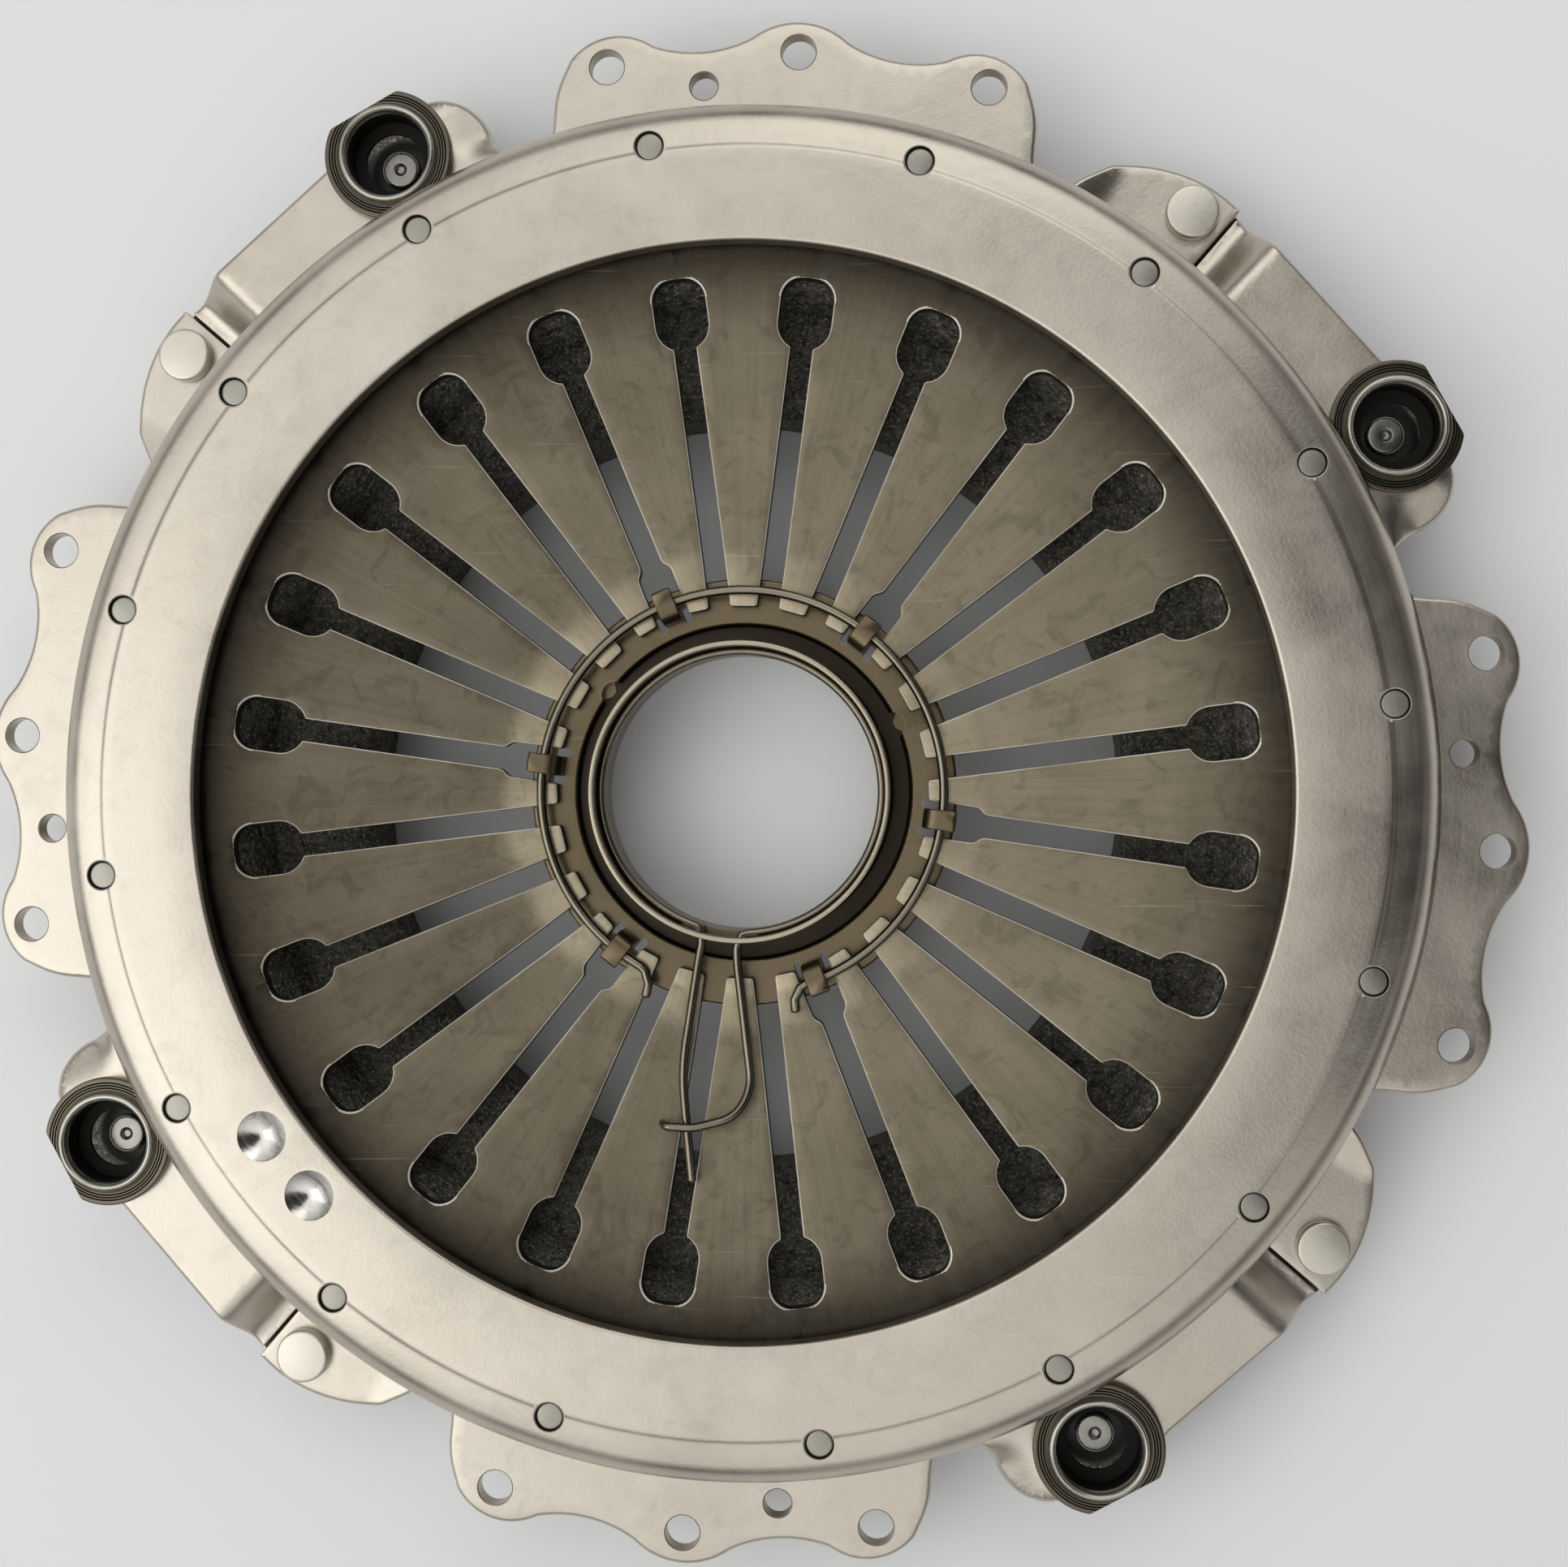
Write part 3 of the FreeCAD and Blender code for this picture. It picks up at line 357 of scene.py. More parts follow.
def plate(outline, weights, holes, top, thick, edge, spacing, hole_edge=0.5):
    """Sheet whose upper face follows the height top(x, y), with rounded edges and round holes.

    A hole may run over the outline: the sheet is then open there.
    """
    def bottom(x, y):
        return top(x, y) - thick

    loop = np.array(outline, float)
    weight = np.array(weights, float)
    along = np.roll(loop, -1, axis=0) - np.roll(loop, 1, axis=0)
    along /= np.linalg.norm(along, axis=1)[:, None]
    inward = np.stack([-along[:, 1], along[:, 0]], axis=1)
    steps = 4
    rings = []
    for k in range(steps + 1):
        turn = math.pi / 2 * k / steps
        offset = edge * weight * (1 - math.sin(turn))
        drop = edge * weight * (1 - math.cos(turn))
        rings.append((loop + inward * offset[:, None], drop))
    base = rings[0][0]
    count = len(base)
    hole_loops = []
    for cx, cy, radius in holes:
        sides = max(24, int(radius * 5))
        turn = 2 * np.pi * np.arange(sides) / sides
        circle = np.stack([np.cos(turn), np.sin(turn)], axis=1)
        hole_loops.append((np.array([cx, cy]), radius, circle))
    low, high = base.min(0), base.max(0)
    xs = np.arange(low[0], high[0], spacing)
    ys = np.arange(low[1], high[1], spacing * 0.87)
    grid = np.array([(x + (spacing / 2 if j % 2 else 0), y) for j, y in enumerate(ys) for x in xs])
    grid = grid[inside(grid, base)]
    near = np.sqrt(((grid[:, None, :] - base[None, ::2, :]) ** 2).sum(2)).min(1)
    grid = grid[near > spacing * 0.45]
    for centre, radius, circle in hole_loops:
        grid = grid[np.linalg.norm(grid - centre, axis=1) > radius + hole_edge + spacing * 0.4]
    points = [tuple(p) for p in base]
    edges = [(i, (i + 1) % count) for i in range(count)]
    starts = []
    for centre, radius, circle in hole_loops:
        first = len(points)
        starts.append(first)
        points += [tuple(centre + c * (radius + hole_edge)) for c in circle]
        edges += [(first + i, first + (i + 1) % len(circle)) for i in range(len(circle))]
    points += [tuple(p) for p in grid]
    found = delaunay_2d_cdt([Vector(p) for p in points], edges, [], 1, 1e-7)
    flat = np.array([tuple(v) for v in found[0]])
    place = {}
    for new, olds in enumerate(found[3]):
        for old in olds:
            place[old] = new
    triangles = []
    for tri in found[2]:
        centre = flat[list(tri)].mean(0)
        if any(np.linalg.norm(centre - c) < r + hole_edge * 0.9 for c, r, _ in hole_loops):
            continue
        (ax, ay), (bx, by), (cx, cy) = flat[list(tri)][:3]
        ccw = (bx - ax) * (cy - ay) - (by - ay) * (cx - ax) > 0
        triangles.append(tuple(tri) if ccw else tuple(reversed(tri)))
    middle = np.array([flat[list(t)].mean(0) for t in triangles])
    kept = inside(middle, base)
    triangles = [t for t, k in zip(triangles, kept) if k]
    total = len(flat)
    verts = [(x, y, top(x, y)) for x, y in flat] + [(x, y, bottom(x, y)) for x, y in flat]
    faces = triangles + [tuple(i + total for i in reversed(t)) for t in triangles]
    outer = [[place[i] for i in range(count)]]
    for line, drop in rings[1:]:
        outer.append([len(verts) + i for i in range(count)])
        verts += [(x, y, top(x, y) - d) for (x, y), d in zip(line, drop)]
    for line, drop in reversed(rings[1:]):
        outer.append([len(verts) + i for i in range(count)])
        verts += [(x, y, bottom(x, y) + d) for (x, y), d in zip(line, drop)]
    outer.append([place[i] + total for i in range(count)])
    side_middles = (base + np.roll(base, -1, axis=0)) / 2
    whole = [all(np.linalg.norm(m - c) > r + hole_edge for c, r, _ in hole_loops) for m in side_middles]
    for here, there in zip(outer, outer[1:]):
        faces += [(here[i], there[i], there[(i + 1) % count], here[(i + 1) % count])
                  for i in range(count) if whole[i]]
    for (centre, radius, circle), first in zip(hole_loops, starts):
        sides = len(circle)
        walled = inside(centre + (circle + np.roll(circle, -1, axis=0)) / 2 * (radius + hole_edge), base)
        chain = [[place[first + i] for i in range(sides)]]
        for height, sign in ((top, -1), (bottom, 1)):
            chain.append([len(verts) + i for i in range(sides)])
            for c in circle:
                x, y = centre + c * radius
                verts.append((x, y, height(x, y) + sign * hole_edge))
        chain.append([place[first + i] + total for i in range(sides)])
        for here, there in zip(chain, chain[1:]):
            faces += [(here[(i + 1) % sides], there[(i + 1) % sides], there[i], here[i])
                      for i in range(sides) if walled[i]]
    return verts, faces


# Materials

def material(name):
    """New material with its node tree and shader."""
    made = bpy.data.materials.new(name)
    made.use_nodes = True
    tree = made.node_tree
    return made, tree, tree.nodes["Principled BSDF"]


def node(tree, kind, inputs=None, **settings):
    """New shader node of a kind, whose inputs take sockets or values."""
    made = tree.nodes.new("ShaderNode" + kind)
    for key, value in settings.items():
        setattr(made, key, value)
    for key, value in (inputs or {}).items():
        if isinstance(value, bpy.types.NodeSocket):
            tree.links.new(value, made.inputs[key])
        else:
            made.inputs[key].default_value = value
    return made


def math_of(tree, operation, *values):
    return node(tree, "Math", dict(enumerate(values)), operation=operation).outputs[0]


def position(tree):
    return node(tree, "TexCoord").outputs["Object"]


def around(tree, along, across):
    """Coordinates that run round the clutch axis, so that streaks follow the turning, and the radius."""
    parts = node(tree, "SeparateXYZ", {"Vector": position(tree)}).outputs
    x, y = parts["X"], parts["Y"]
    angle = math_of(tree, "ARCTAN2", y, x)
    radius = math_of(tree, "SQRT", math_of(tree, "MULTIPLY_ADD", y, y, math_of(tree, "MULTIPLY", x, x)))
    turned = node(tree, "CombineXYZ", {"X": math_of(tree, "MULTIPLY", angle, along),
                                       "Y": math_of(tree, "MULTIPLY", radius, across),
                                       "Z": math_of(tree, "MULTIPLY", parts["Z"], across)})
    return turned.outputs[0], radius


def noise_of(tree, vector, scale, detail=4.0, rough=0.55, distortion=0.0):
    return node(tree, "TexNoise", {"Vector": vector, "Scale": scale, "Detail": detail,
                                   "Roughness": rough, "Distortion": distortion}).outputs["Fac"]


def ramp(tree, value, stops):
    """Colour ramp; a stop has three values, or one for a grey."""
    made = node(tree, "ValToRGB", {"Fac": value})
    marks = made.color_ramp.elements
    while len(marks) < len(stops):
        marks.new(0.5)
    for mark, (at, colour) in zip(marks, stops):
        mark.position = at
        mark.color = (*colour, 1) if len(colour) == 3 else (*colour * 3, 1)
    return made.outputs["Color"]


def mix(tree, factor, one, two, kind="MIX"):
    one, two = [value if isinstance(value, bpy.types.NodeSocket) else (*value, 1) for value in (one, two)]
    return node(tree, "Mix", {0: factor, 6: one, 7: two}, data_type="RGBA", blend_type=kind).outputs[2]


def spread(tree, value, low, high, out_low, out_high):
    return node(tree, "MapRange", {"Value": value, "From Min": low, "From Max": high,
                                   "To Min": out_low, "To Max": out_high}).outputs["Result"]


def bump(tree, height, strength, distance, normal=None):
    made = node(tree, "Bump", {"Height": height, "Strength": strength, "Distance": distance})
    if normal is not None:
        tree.links.new(normal, made.inputs["Normal"])
    return made.outputs["Normal"]


def soft_edges(tree, radius):
    """Normal that rounds the edges off."""
    return node(tree, "Bevel", {"Radius": radius}, samples=4).outputs["Normal"]


def steel(name, dark, light, rough, metallic=0.85, streak=0.5, stain=0.35, scratch=0.25, edges=0.0,
          rings=None, wear=0.0, radial=0.0, spots=0.0):
    """Worked steel: streaks round the axis, cloudy stains, fine grain, scratches and edges worn bright."""
    made, tree, shader = material(name)
    here = position(tree)
    turned, radius = around(tree, 6.0, 900.0)
    brushed = noise_of(tree, turned, 1.0, 6.0, 0.7)
    cloud = noise_of(tree, here, 28.0, 5.0, 0.6, 0.4)
    grain = noise_of(tree, here, 900.0, 3.0, 0.6)
    middle = tuple((a + b) / 2 for a, b in zip(dark, light))
    stops = [(at, tuple(m + (c - m) * stain for m, c in zip(middle, tone)))
             for at, tone in ((0.3, dark), (0.7, light))]
    colour = ramp(tree, cloud, stops)
    # Tone by radius; on the diaphragm it also paints the shade under the cover's edge
    if rings:
        share = spread(tree, radius, 0.050, 0.190, 0.0, 1.0)
        shade = ramp(tree, share, [(at, (k, k * 0.97, k * 0.9)) for at, k in rings])
        colour = mix(tree, 1.0, colour, shade, "MULTIPLY")
    fleck = ramp(tree, brushed, [(0.35, (1 - 0.16 * streak,)), (0.65, (1.0,))])
    colour = mix(tree, 1.0, colour, fleck, "MULTIPLY")
    if radial:
        strokes, _ = around(tree, 90.0, 14.0)
        lines = noise_of(tree, strokes, 1.0, 5.0, 0.65, 0.6)
        shade = ramp(tree, lines, [(0.36, (1 - radial,)), (0.6, (1.0,))])
        colour = mix(tree, 1.0, colour, shade, "MULTIPLY")
    if spots:
        drops = noise_of(tree, here, 95.0, 4.0, 0.65, 1.2)
        shade = ramp(tree, drops, [(0.52, (1.0,)), (0.64, (1 - spots,))])
        colour = mix(tree, 1.0, colour, shade, "MULTIPLY")
    drawn = node(tree, "Mapping", {"Vector": here, "Rotation": (0, 0, 0.6), "Scale": (22, 900, 60)})
    marks = ramp(tree, noise_of(tree, drawn.outputs[0], 1.0, 2.0, 0.5), [(0.70, (0.0,)), (0.76, (1.0,))])
    bright = tuple(min(0.9, c * 1.35) for c in light)
    colour = mix(tree, math_of(tree, "MULTIPLY", marks, scratch), colour, bright)
    if wear:
        share = math_of(tree, "MULTIPLY", worn_edges(tree, 0.0006, here), wear)
        colour = mix(tree, share, colour, tuple(min(0.85, c * 2.2) for c in light))
    tree.links.new(colour, shader.inputs["Base Color"])
    shader.inputs["Metallic"].default_value = metallic
    dull = spread(tree, cloud, 0.3, 0.7, rough - 0.06, rough + 0.07)
    gloss = math_of(tree, "ADD", dull, spread(tree, brushed, 0.3, 0.7, -0.1 * streak, 0.1 * streak))
    tree.links.new(gloss, shader.inputs["Roughness"])
    base = soft_edges(tree, edges) if edges else None
    normal = bump(tree, grain, 0.10, 0.0004, base)
    normal = bump(tree, brushed, 0.05 * streak, 0.0004, normal)
    tree.links.new(normal, shader.inputs["Normal"])
    return made


def worn_edges(tree, radius, here):
    """One along sharp edges, broken up by noise, and nothing on the faces."""
    flat = node(tree, "NewGeometry").outputs["Normal"]
    turn = node(tree, "VectorMath", {0: soft_edges(tree, radius), 1: flat}, operation="DOT_PRODUCT")
    edge = spread(tree, turn.outputs["Value"], 0.985, 0.90, 0.0, 1.0)
    rough = ramp(tree, noise_of(tree, here, 220.0, 3.0), [(0.35, (0.25,)), (0.6, (1.0,))])
    return math_of(tree, "MULTIPLY", edge, rough)


cover_steel = steel("cover_steel", (0.41, 0.37, 0.305), (0.66, 0.605, 0.52), 0.31, metallic=1.0, streak=0.2,
                    stain=0.5, spots=0.06, scratch=0.12)
# The fingers darken from their tips to the rim; the steep darkening beyond about 140 mm is painted shade
# under the cover's edge. Shares of the way from 50 to 190 mm
spring_steel = steel("spring_steel", (0.27, 0.23, 0.162), (0.60, 0.53, 0.40), 0.36, metallic=0.9, streak=0.3,
                     stain=0.5, scratch=0.08, radial=0.12, spots=0.20,
                     rings=[(0.0, 1.0), (0.075, 1.0), (0.09, 0.74), (0.15, 0.68), (0.18, 0.48), (0.5, 0.44),
                            (0.64, 0.36), (0.72, 0.22), (0.78, 0.11)])
# Painted highlight: a bright copy of the spring steel for the fingers' rounded edges
spring_edge_painted_highlight = steel("spring_edge_painted_highlight", (0.42, 0.38, 0.30), (0.88, 0.84, 0.74), 0.35, metallic=0.15, streak=0.0,
                    stain=1.0)
# Painted highlight: a bright copy of the steel for the chamfer round each pin's pocket
pin_chamfer_painted_highlight = steel("pin_chamfer_painted_highlight", (0.55, 0.52, 0.45), (0.90, 0.87, 0.80), 0.3, metallic=0.4, streak=0.0, stain=1.0)
drill_steel = steel("drill_steel", (0.50, 0.47, 0.41), (0.92, 0.89, 0.83), 0.17, metallic=1.0, streak=0.9,
                    stain=1.0)
# Painted shade: a near-black copy of the steel for the wall of each pin's pocket
pin_wall_painted_shade = steel("pin_wall_painted_shade", (0.03, 0.027, 0.022), (0.09, 0.085, 0.07), 0.4, streak=0.0)
# Painted highlight: a bright copy of the sleeve steel for each sleeve's rolled rim
sleeve_rim_painted_highlight = steel("sleeve_rim_painted_highlight", (0.30, 0.29, 0.24), (0.66, 0.64, 0.56), 0.22, metallic=0.9, streak=0.3,
                   stain=1.0)
# Painted shade: a near-black copy of the spring steel for the fingers' walls and undersides
spring_wall_painted_shade = steel("spring_wall_painted_shade", (0.03, 0.027, 0.02), (0.09, 0.08, 0.06), 0.45, streak=0.0)
# Painted shade: a near-black copy of the ring steel for the groove round the collar
ring_groove_painted_shade = steel("ring_groove_painted_shade", (0.02, 0.016, 0.010), (0.05, 0.04, 0.026), 0.4, streak=0.6)
# Painted highlight: a lighter copy of the ring steel for the top of the collar
collar_rim_painted_highlight = steel("collar_rim_painted_highlight", (0.30, 0.26, 0.185), (0.55, 0.49, 0.38), 0.26, streak=0.4)
rivet_steel = steel("rivet_steel", (0.52, 0.49, 0.41), (0.72, 0.69, 0.60), 0.33, streak=0.2)
stud_steel = steel("stud_steel", (0.16, 0.155, 0.135), (0.42, 0.41, 0.37), 0.26, metallic=1.0, streak=0.2,
                   stain=1.0)
pin_steel = steel("pin_steel", (0.23, 0.22, 0.18), (0.43, 0.415, 0.36), 0.3, streak=0.2, wear=0.6)
sleeve_steel = steel("sleeve_steel", (0.060, 0.052, 0.038), (0.20, 0.175, 0.13), 0.28, metallic=0.95,
                     streak=0.4)
# Painted shade: a near-black copy of the sleeve steel for the bore and the flange's grooves
sleeve_painted_shade = steel("sleeve_painted_shade", (0.004, 0.004, 0.003), (0.014, 0.013, 0.011), 0.5, metallic=0.3,
                    streak=0.6)
sleeve_painted_shade.node_tree.nodes["Principled BSDF"].inputs["Specular IOR Level"].default_value = 0.12
ring_steel = steel("ring_steel", (0.080, 0.060, 0.034), (0.225, 0.178, 0.108), 0.28, metallic=0.9,
                   streak=0.6, wear=0.3)
wire_steel = steel("wire_steel", (0.10, 0.088, 0.065), (0.34, 0.305, 0.235), 0.22, metallic=1.0, streak=0.0,
                   scratch=0.1)
leaf_steel = steel("leaf_steel", (0.020, 0.019, 0.018), (0.055, 0.053, 0.050), 0.42, streak=0.1, edges=0.0003)
washer_steel = steel("washer_steel", (0.02, 0.02, 0.018), (0.05, 0.05, 0.047), 0.4, streak=0.2, edges=0.0003)


def casting(name):
    """Sand-cast iron: a coarse raw skin with a few grains painted bright as glints, and a ground friction
    face.
    """
    made, tree, shader = material(name)
    here = position(tree)
    coarse = noise_of(tree, here, 320.0, 6.0, 0.7)
    pits = node(tree, "TexVoronoi", {"Vector": here, "Scale": 520.0}).outputs["Distance"]
    grit = noise_of(tree, here, 1000.0, 3.0, 0.6)
    colour = ramp(tree, coarse, [(0.35, (0.06, 0.055, 0.045)), (0.56, (0.20, 0.185, 0.155)),
                                 (0.70, (0.36, 0.335, 0.28))])
    # Painted glints: bright grains in the colour
    colour = mix(tree, ramp(tree, grit, [(0.54, (0.0,)), (0.66, (0.7,))]), colour, (0.70, 0.65, 0.56))
    turned, _ = around(tree, 3.0, 2200.0)
    rings = noise_of(tree, turned, 1.0, 4.0, 0.6)
    height = node(tree, "SeparateXYZ", {"Vector": here}).outputs["Z"]
    ground = spread(tree, height, 0.0004, 0.0009, 1.0, 0.0)
    cast = spread(tree, height, 0.0004, 0.0009, 0.0, 1.0)
    finish = ramp(tree, rings, [(0.3, (0.26, 0.255, 0.245)), (0.7, (0.46, 0.45, 0.43))])
    colour = mix(tree, ground, colour, finish)
    tree.links.new(colour, shader.inputs["Base Color"])
    shader.inputs["Metallic"].default_value = 0.7
    skin = spread(tree, coarse, 0.3, 0.7, 0.38, 0.6)
    tree.links.new(math_of(tree, "MULTIPLY_ADD", ground, -0.12, skin), shader.inputs["Roughness"])
    normal = bump(tree, coarse, cast, 0.0022, soft_edges(tree, 0.0012))
    normal = bump(tree, pits, cast, 0.0005, normal)
    normal = bump(tree, grit, cast, 0.0004, normal)
    normal = bump(tree, rings, 0.08, 0.0002, normal)
    tree.links.new(normal, shader.inputs["Normal"])
    return made


plate_iron = casting("plate_iron")


# Cover: dome, tabs, platforms and seats

def dome_profile():
    """Section of the dome: level top, crease, sloping shoulder, bend, wall, and the same way back inside."""
    lean = math.degrees(math.atan(SHOULDER_SLOPE))
    bend = SHOULDER_BEND
    bend_r = WALL_R - bend
    turn_z = COVER_TOP - (bend_r + bend * math.sin(math.radians(lean)) - CREASE_R) * SHOULDER_SLOPE
    bend_z = turn_z - bend * math.cos(math.radians(lean))

    def corner(radius, start, end, count):
        turns = [math.radians(start + (end - start) * k / count) for k in range(count + 1)]
        return [(bend_r + radius * math.cos(turn), bend_z + radius * math.sin(turn)) for turn in turns]

    top = rounded([(OPENING_R, INNER_TOP), (OPENING_R, COVER_TOP), (175.0, COVER_TOP)], [0.9, 1.2, 0], 4)
    crease = [(186.0, COVER_TOP), (188.3, 56.97), (189.0, 56.90), (189.5, 56.70), (190.0, 56.50),
              (190.6, 56.41), (192.2, 56.28)]
    outer = corner(bend, 90 - lean, 0, 12)
    wall = [(WALL_R, 45.0), (WALL_R, 36.0), (WALL_R, NECK_Z), (WALL_R - SHEET, NECK_Z)]
    inner = corner(bend - SHEET, 0, 90 - lean, 6)
    fold = [(CREASE_R - 0.6, INNER_TOP)]
    bead = [(FULCRUM_R + 3.5, INNER_TOP), (FULCRUM_R + 1.75, 49.35), (FULCRUM_R - 1.75, 48.65),
            (FULCRUM_R - 3.5, INNER_TOP)]
    return top + crease + outer + wall + inner + fold + bead


def cut(target, parts):
    """Cuts closed forms out of an object."""
    verts, faces = joined(parts)
    tool = piece("cutter", verts, faces, cover_steel, "cover")
    modifier = target.modifiers.new("cut", "BOOLEAN")
    modifier.operation = "DIFFERENCE"
    modifier.solver = "EXACT"
    modifier.object = tool
    bpy.context.view_layer.update()
    evaluated = target.evaluated_get(bpy.context.evaluated_depsgraph_get())
    mesh = bpy.data.meshes.new_from_object(evaluated)
    target.modifiers.clear()
    target.data = mesh
    bpy.data.objects.remove(tool)
    mesh.polygons.foreach_set("use_smooth", [True] * len(mesh.polygons))
    mesh.set_sharp_from_angle(angle=math.radians(30))


dome = piece("cover_dome", *lathe(dome_profile(), 540), cover_steel, "cover", "cover_steel", sharp=30)
pin_spots = [polar(PIN_R, TAB_ANGLE - 45 + 90 * q + step) for q in range(QUARTERS) for step in PIN_STEPS]
pocket = spindle([(0, 43.0), (PIN_D / 2 + 0.1, 43.0), (PIN_D / 2 + 0.1, 55.2), (PIN_D / 2 + 0.25, 55.9),
                  (PIN_D / 2 + 0.55, 56.5), (PIN_D / 2 + 1.1, 57.3), (CHAMFER_R, 60.0), (0, 60.0)], 48)
tools = [moved(pocket, 0, (x, y, 0)) for x, y in pin_spots]
dimple = spindle([(0, 53.9), (2.0, 54.35), (7.2, 56.75), (7.9, 57.3), (7.9, 60.0), (0, 60.0)], 56)
drill_spots = [polar(DRILL_R, angle) for angle in DRILL_ANGLES]
tools += [moved(dimple, 0, (x, y, 0)) for x, y in drill_spots]
cut(dome, tools)
add_slots(dome, pin_chamfer_painted_highlight, pin_wall_painted_shade, drill_steel)


def nearest(place, spots):
    return min(math.hypot(place.x - x, place.y - y) for x, y in spots)


for polygon in dome.data.polygons:
    place = polygon.center / MM
    if nearest(place, pin_spots) < CHAMFER_R and place.z > PIN_FOOT:
        # The pocket's chamfer gets the painted highlight
        chamfer = place.z > 55.25 and polygon.normal.z < 0.95
        # Below the chamfer the pocket's wall gets the painted shade
        polygon.material_index = 1 if chamfer else 2 if place.z < 55.3 else 0
    elif place.z < 56.98 and nearest(place, drill_spots) < 8.0:
        polygon.material_index = 3


def bend_arc(top, bend, radius):
    """Quarter circle about the centre of the bend between a flange and the wall."""
    turns = [math.radians(270 - 90 * k / 8) for k in range(9)]
    return [(WALL_R + bend + radius * math.cos(t), top + bend + radius * math.sin(t)) for t in turns]


def foot_bend(top, bend, start, end, rise=None):
    """Hollow of the bend where a flange turns up into the wall."""
    rest = [(WALL_R - 0.6, top + bend), (WALL_R - 0.6, top - 0.8), (WALL_R + bend, top - 0.8)]
    verts, faces = lathe(bend_arc(top, bend, bend) + rest, 48, start, end - start)
    if rise:
        verts = [(x, y, z + rise(math.degrees(math.atan2(y, x)))) for x, y, z in verts]
    return verts, faces


def under_bend(top, bend, start, end):
    """Inside of the bend between wall and flange."""
    rest = [(WALL_R - SHEET, SKIRT_Z), (WALL_R - 0.3, SKIRT_Z), (WALL_R - 0.3, top - 1),
            (WALL_R + bend, top - 1)]
    return lathe(bend_arc(top, bend, bend + SHEET) + rest, 48, start, end - start)


def wall_line(start, end, count=60):
    return [polar(WALL_R, start + (end - start) * k / count) for k in range(count + 1)]


def weights_for(outline, sheared=None):
    """Edge rounding: none along the wall, full elsewhere, little on a sheared edge."""
    out = []
    for x, y in outline:
        share = float(smooth((math.hypot(x, y) - WALL_R) / 4.0))
        if sheared is not None and abs(math.degrees(math.atan2(y, x)) - sheared) < 0.25:
            share *= 0.3
        out.append(share)
    return out


def tab_part():
    """Bolting tab about angle 0: three lobes with bolt holes, one dowel hole, and its bends."""
    lobe, hollow, flank = BOLT_R + 9.5, BOLT_R + 1.0, BOLT_R + 4.4
    flank_line = [(WALL_R, TAB_HALF), (WALL_R + 3, 20.9), (211.0, 20.4), (221.5, 19.45)]
    shoulder = (lobe - 4.4, 17.7)
    crest = arc3(polar(shoulder[0], -shoulder[1]), polar(lobe, -15), polar(flank, -11.25), 16)
    crest += arc3(polar(flank, -11.25), polar(hollow, -7.5), polar(flank, -3.75), 14)
    crest += arc3(polar(flank, -3.75), polar(lobe, 0), polar(flank, 3.75), 14)
    crest += arc3(polar(flank, 3.75), polar(hollow, 7.5), polar(flank, 11.25), 14)
    crest += arc3(polar(flank, 11.25), polar(lobe, 15), polar(*shoulder), 16)
    crest += [polar(*shoulder)]
    path = [polar(r, -a) for r, a in flank_line] + crest + [polar(r, a) for r, a in reversed(flank_line)]
    path = rounded(path, [0, 2, 5, 6] + [2.0] * len(crest) + [6, 5, 2, 0], 4)
    outline = dense(path + wall_line(TAB_HALF, -TAB_HALF)[1:-1], 1.4)
    holes = [(*polar(BOLT_R, a), BOLT_HOLE) for a in BOLT_STEPS] + [(*polar(DOWEL_R, DOWEL_STEP), DOWEL_HOLE)]
    sheet = plate(outline, weights_for(outline), holes, lambda x, y: TAB_TOP, SHEET, EDGE_ROUND, 3.0, 0.35)
    return joined([sheet, foot_bend(TAB_TOP, FOOT_BEND, -20.8, 20.8),
                   under_bend(TAB_TOP, FOOT_BEND, -21.0, 21.0)])


def platform_part():
    """Low platform for the cover's strap rivet, from the slit to its bent-up end."""
    path = [polar(WALL_R, SLIT_ANGLE), polar(231.0, SLIT_ANGLE)]
    path += arc3(polar(231.0, SLIT_ANGLE), polar(231.2, 52.0), polar(229.5, 54.4), 10)[1:]
    path += arc3(polar(229.5, 54.4), polar(226.0, 56.9), polar(220.5, 59.4), 10)
    path += [polar(220.5, 59.4), polar(212.0, 61.0), polar(207.0, 61.7), polar(WALL_R, PLATFORM_END)]
    path = rounded(path, [0, 2.0] + [1.5] * (len(path) - 5) + [4, 3, 0], 3)
    outline = dense(path + wall_line(PLATFORM_END, SLIT_ANGLE, 30)[1:-1], 1.2)

    def rise(angle):
        return 3.0 * float(smooth((angle - 58.0) / 4.0))

    def top(x, y):
        return PLATFORM_TOP + rise(math.degrees(math.atan2(y, x)))

    sheet = plate(outline, weights_for(outline, SLIT_ANGLE), [], top, SHEET, EDGE_ROUND, 2.4, 0.35)
    return joined([sheet, foot_bend(PLATFORM_TOP, FOOT_BEND, SLIT_ANGLE + 0.05, 61.7, rise),
                   under_bend(PLATFORM_TOP, FOOT_BEND, SLIT_ANGLE, 61.9)])


def seat_height(x, y):
    """Upper face of a seat: level round the sleeve, down to the platform at the slit, with a drooping end."""
    angle = math.degrees(math.atan2(y, x))
    radius = math.hypot(x, y)
    drop = 11.0 * float(smooth((angle - 45.0) / 3.4))
    droop = 5.0 * float(smooth((24.6 - angle) / 4.5)) * float(smooth((radius - 206.0) / 10.0))
    lip = 1.6 * float(smooth((radius - 226.0) / 7.0)) * float(smooth((27.0 - angle) / 3.0))
    return SEAT_TOP - drop - droop - lip


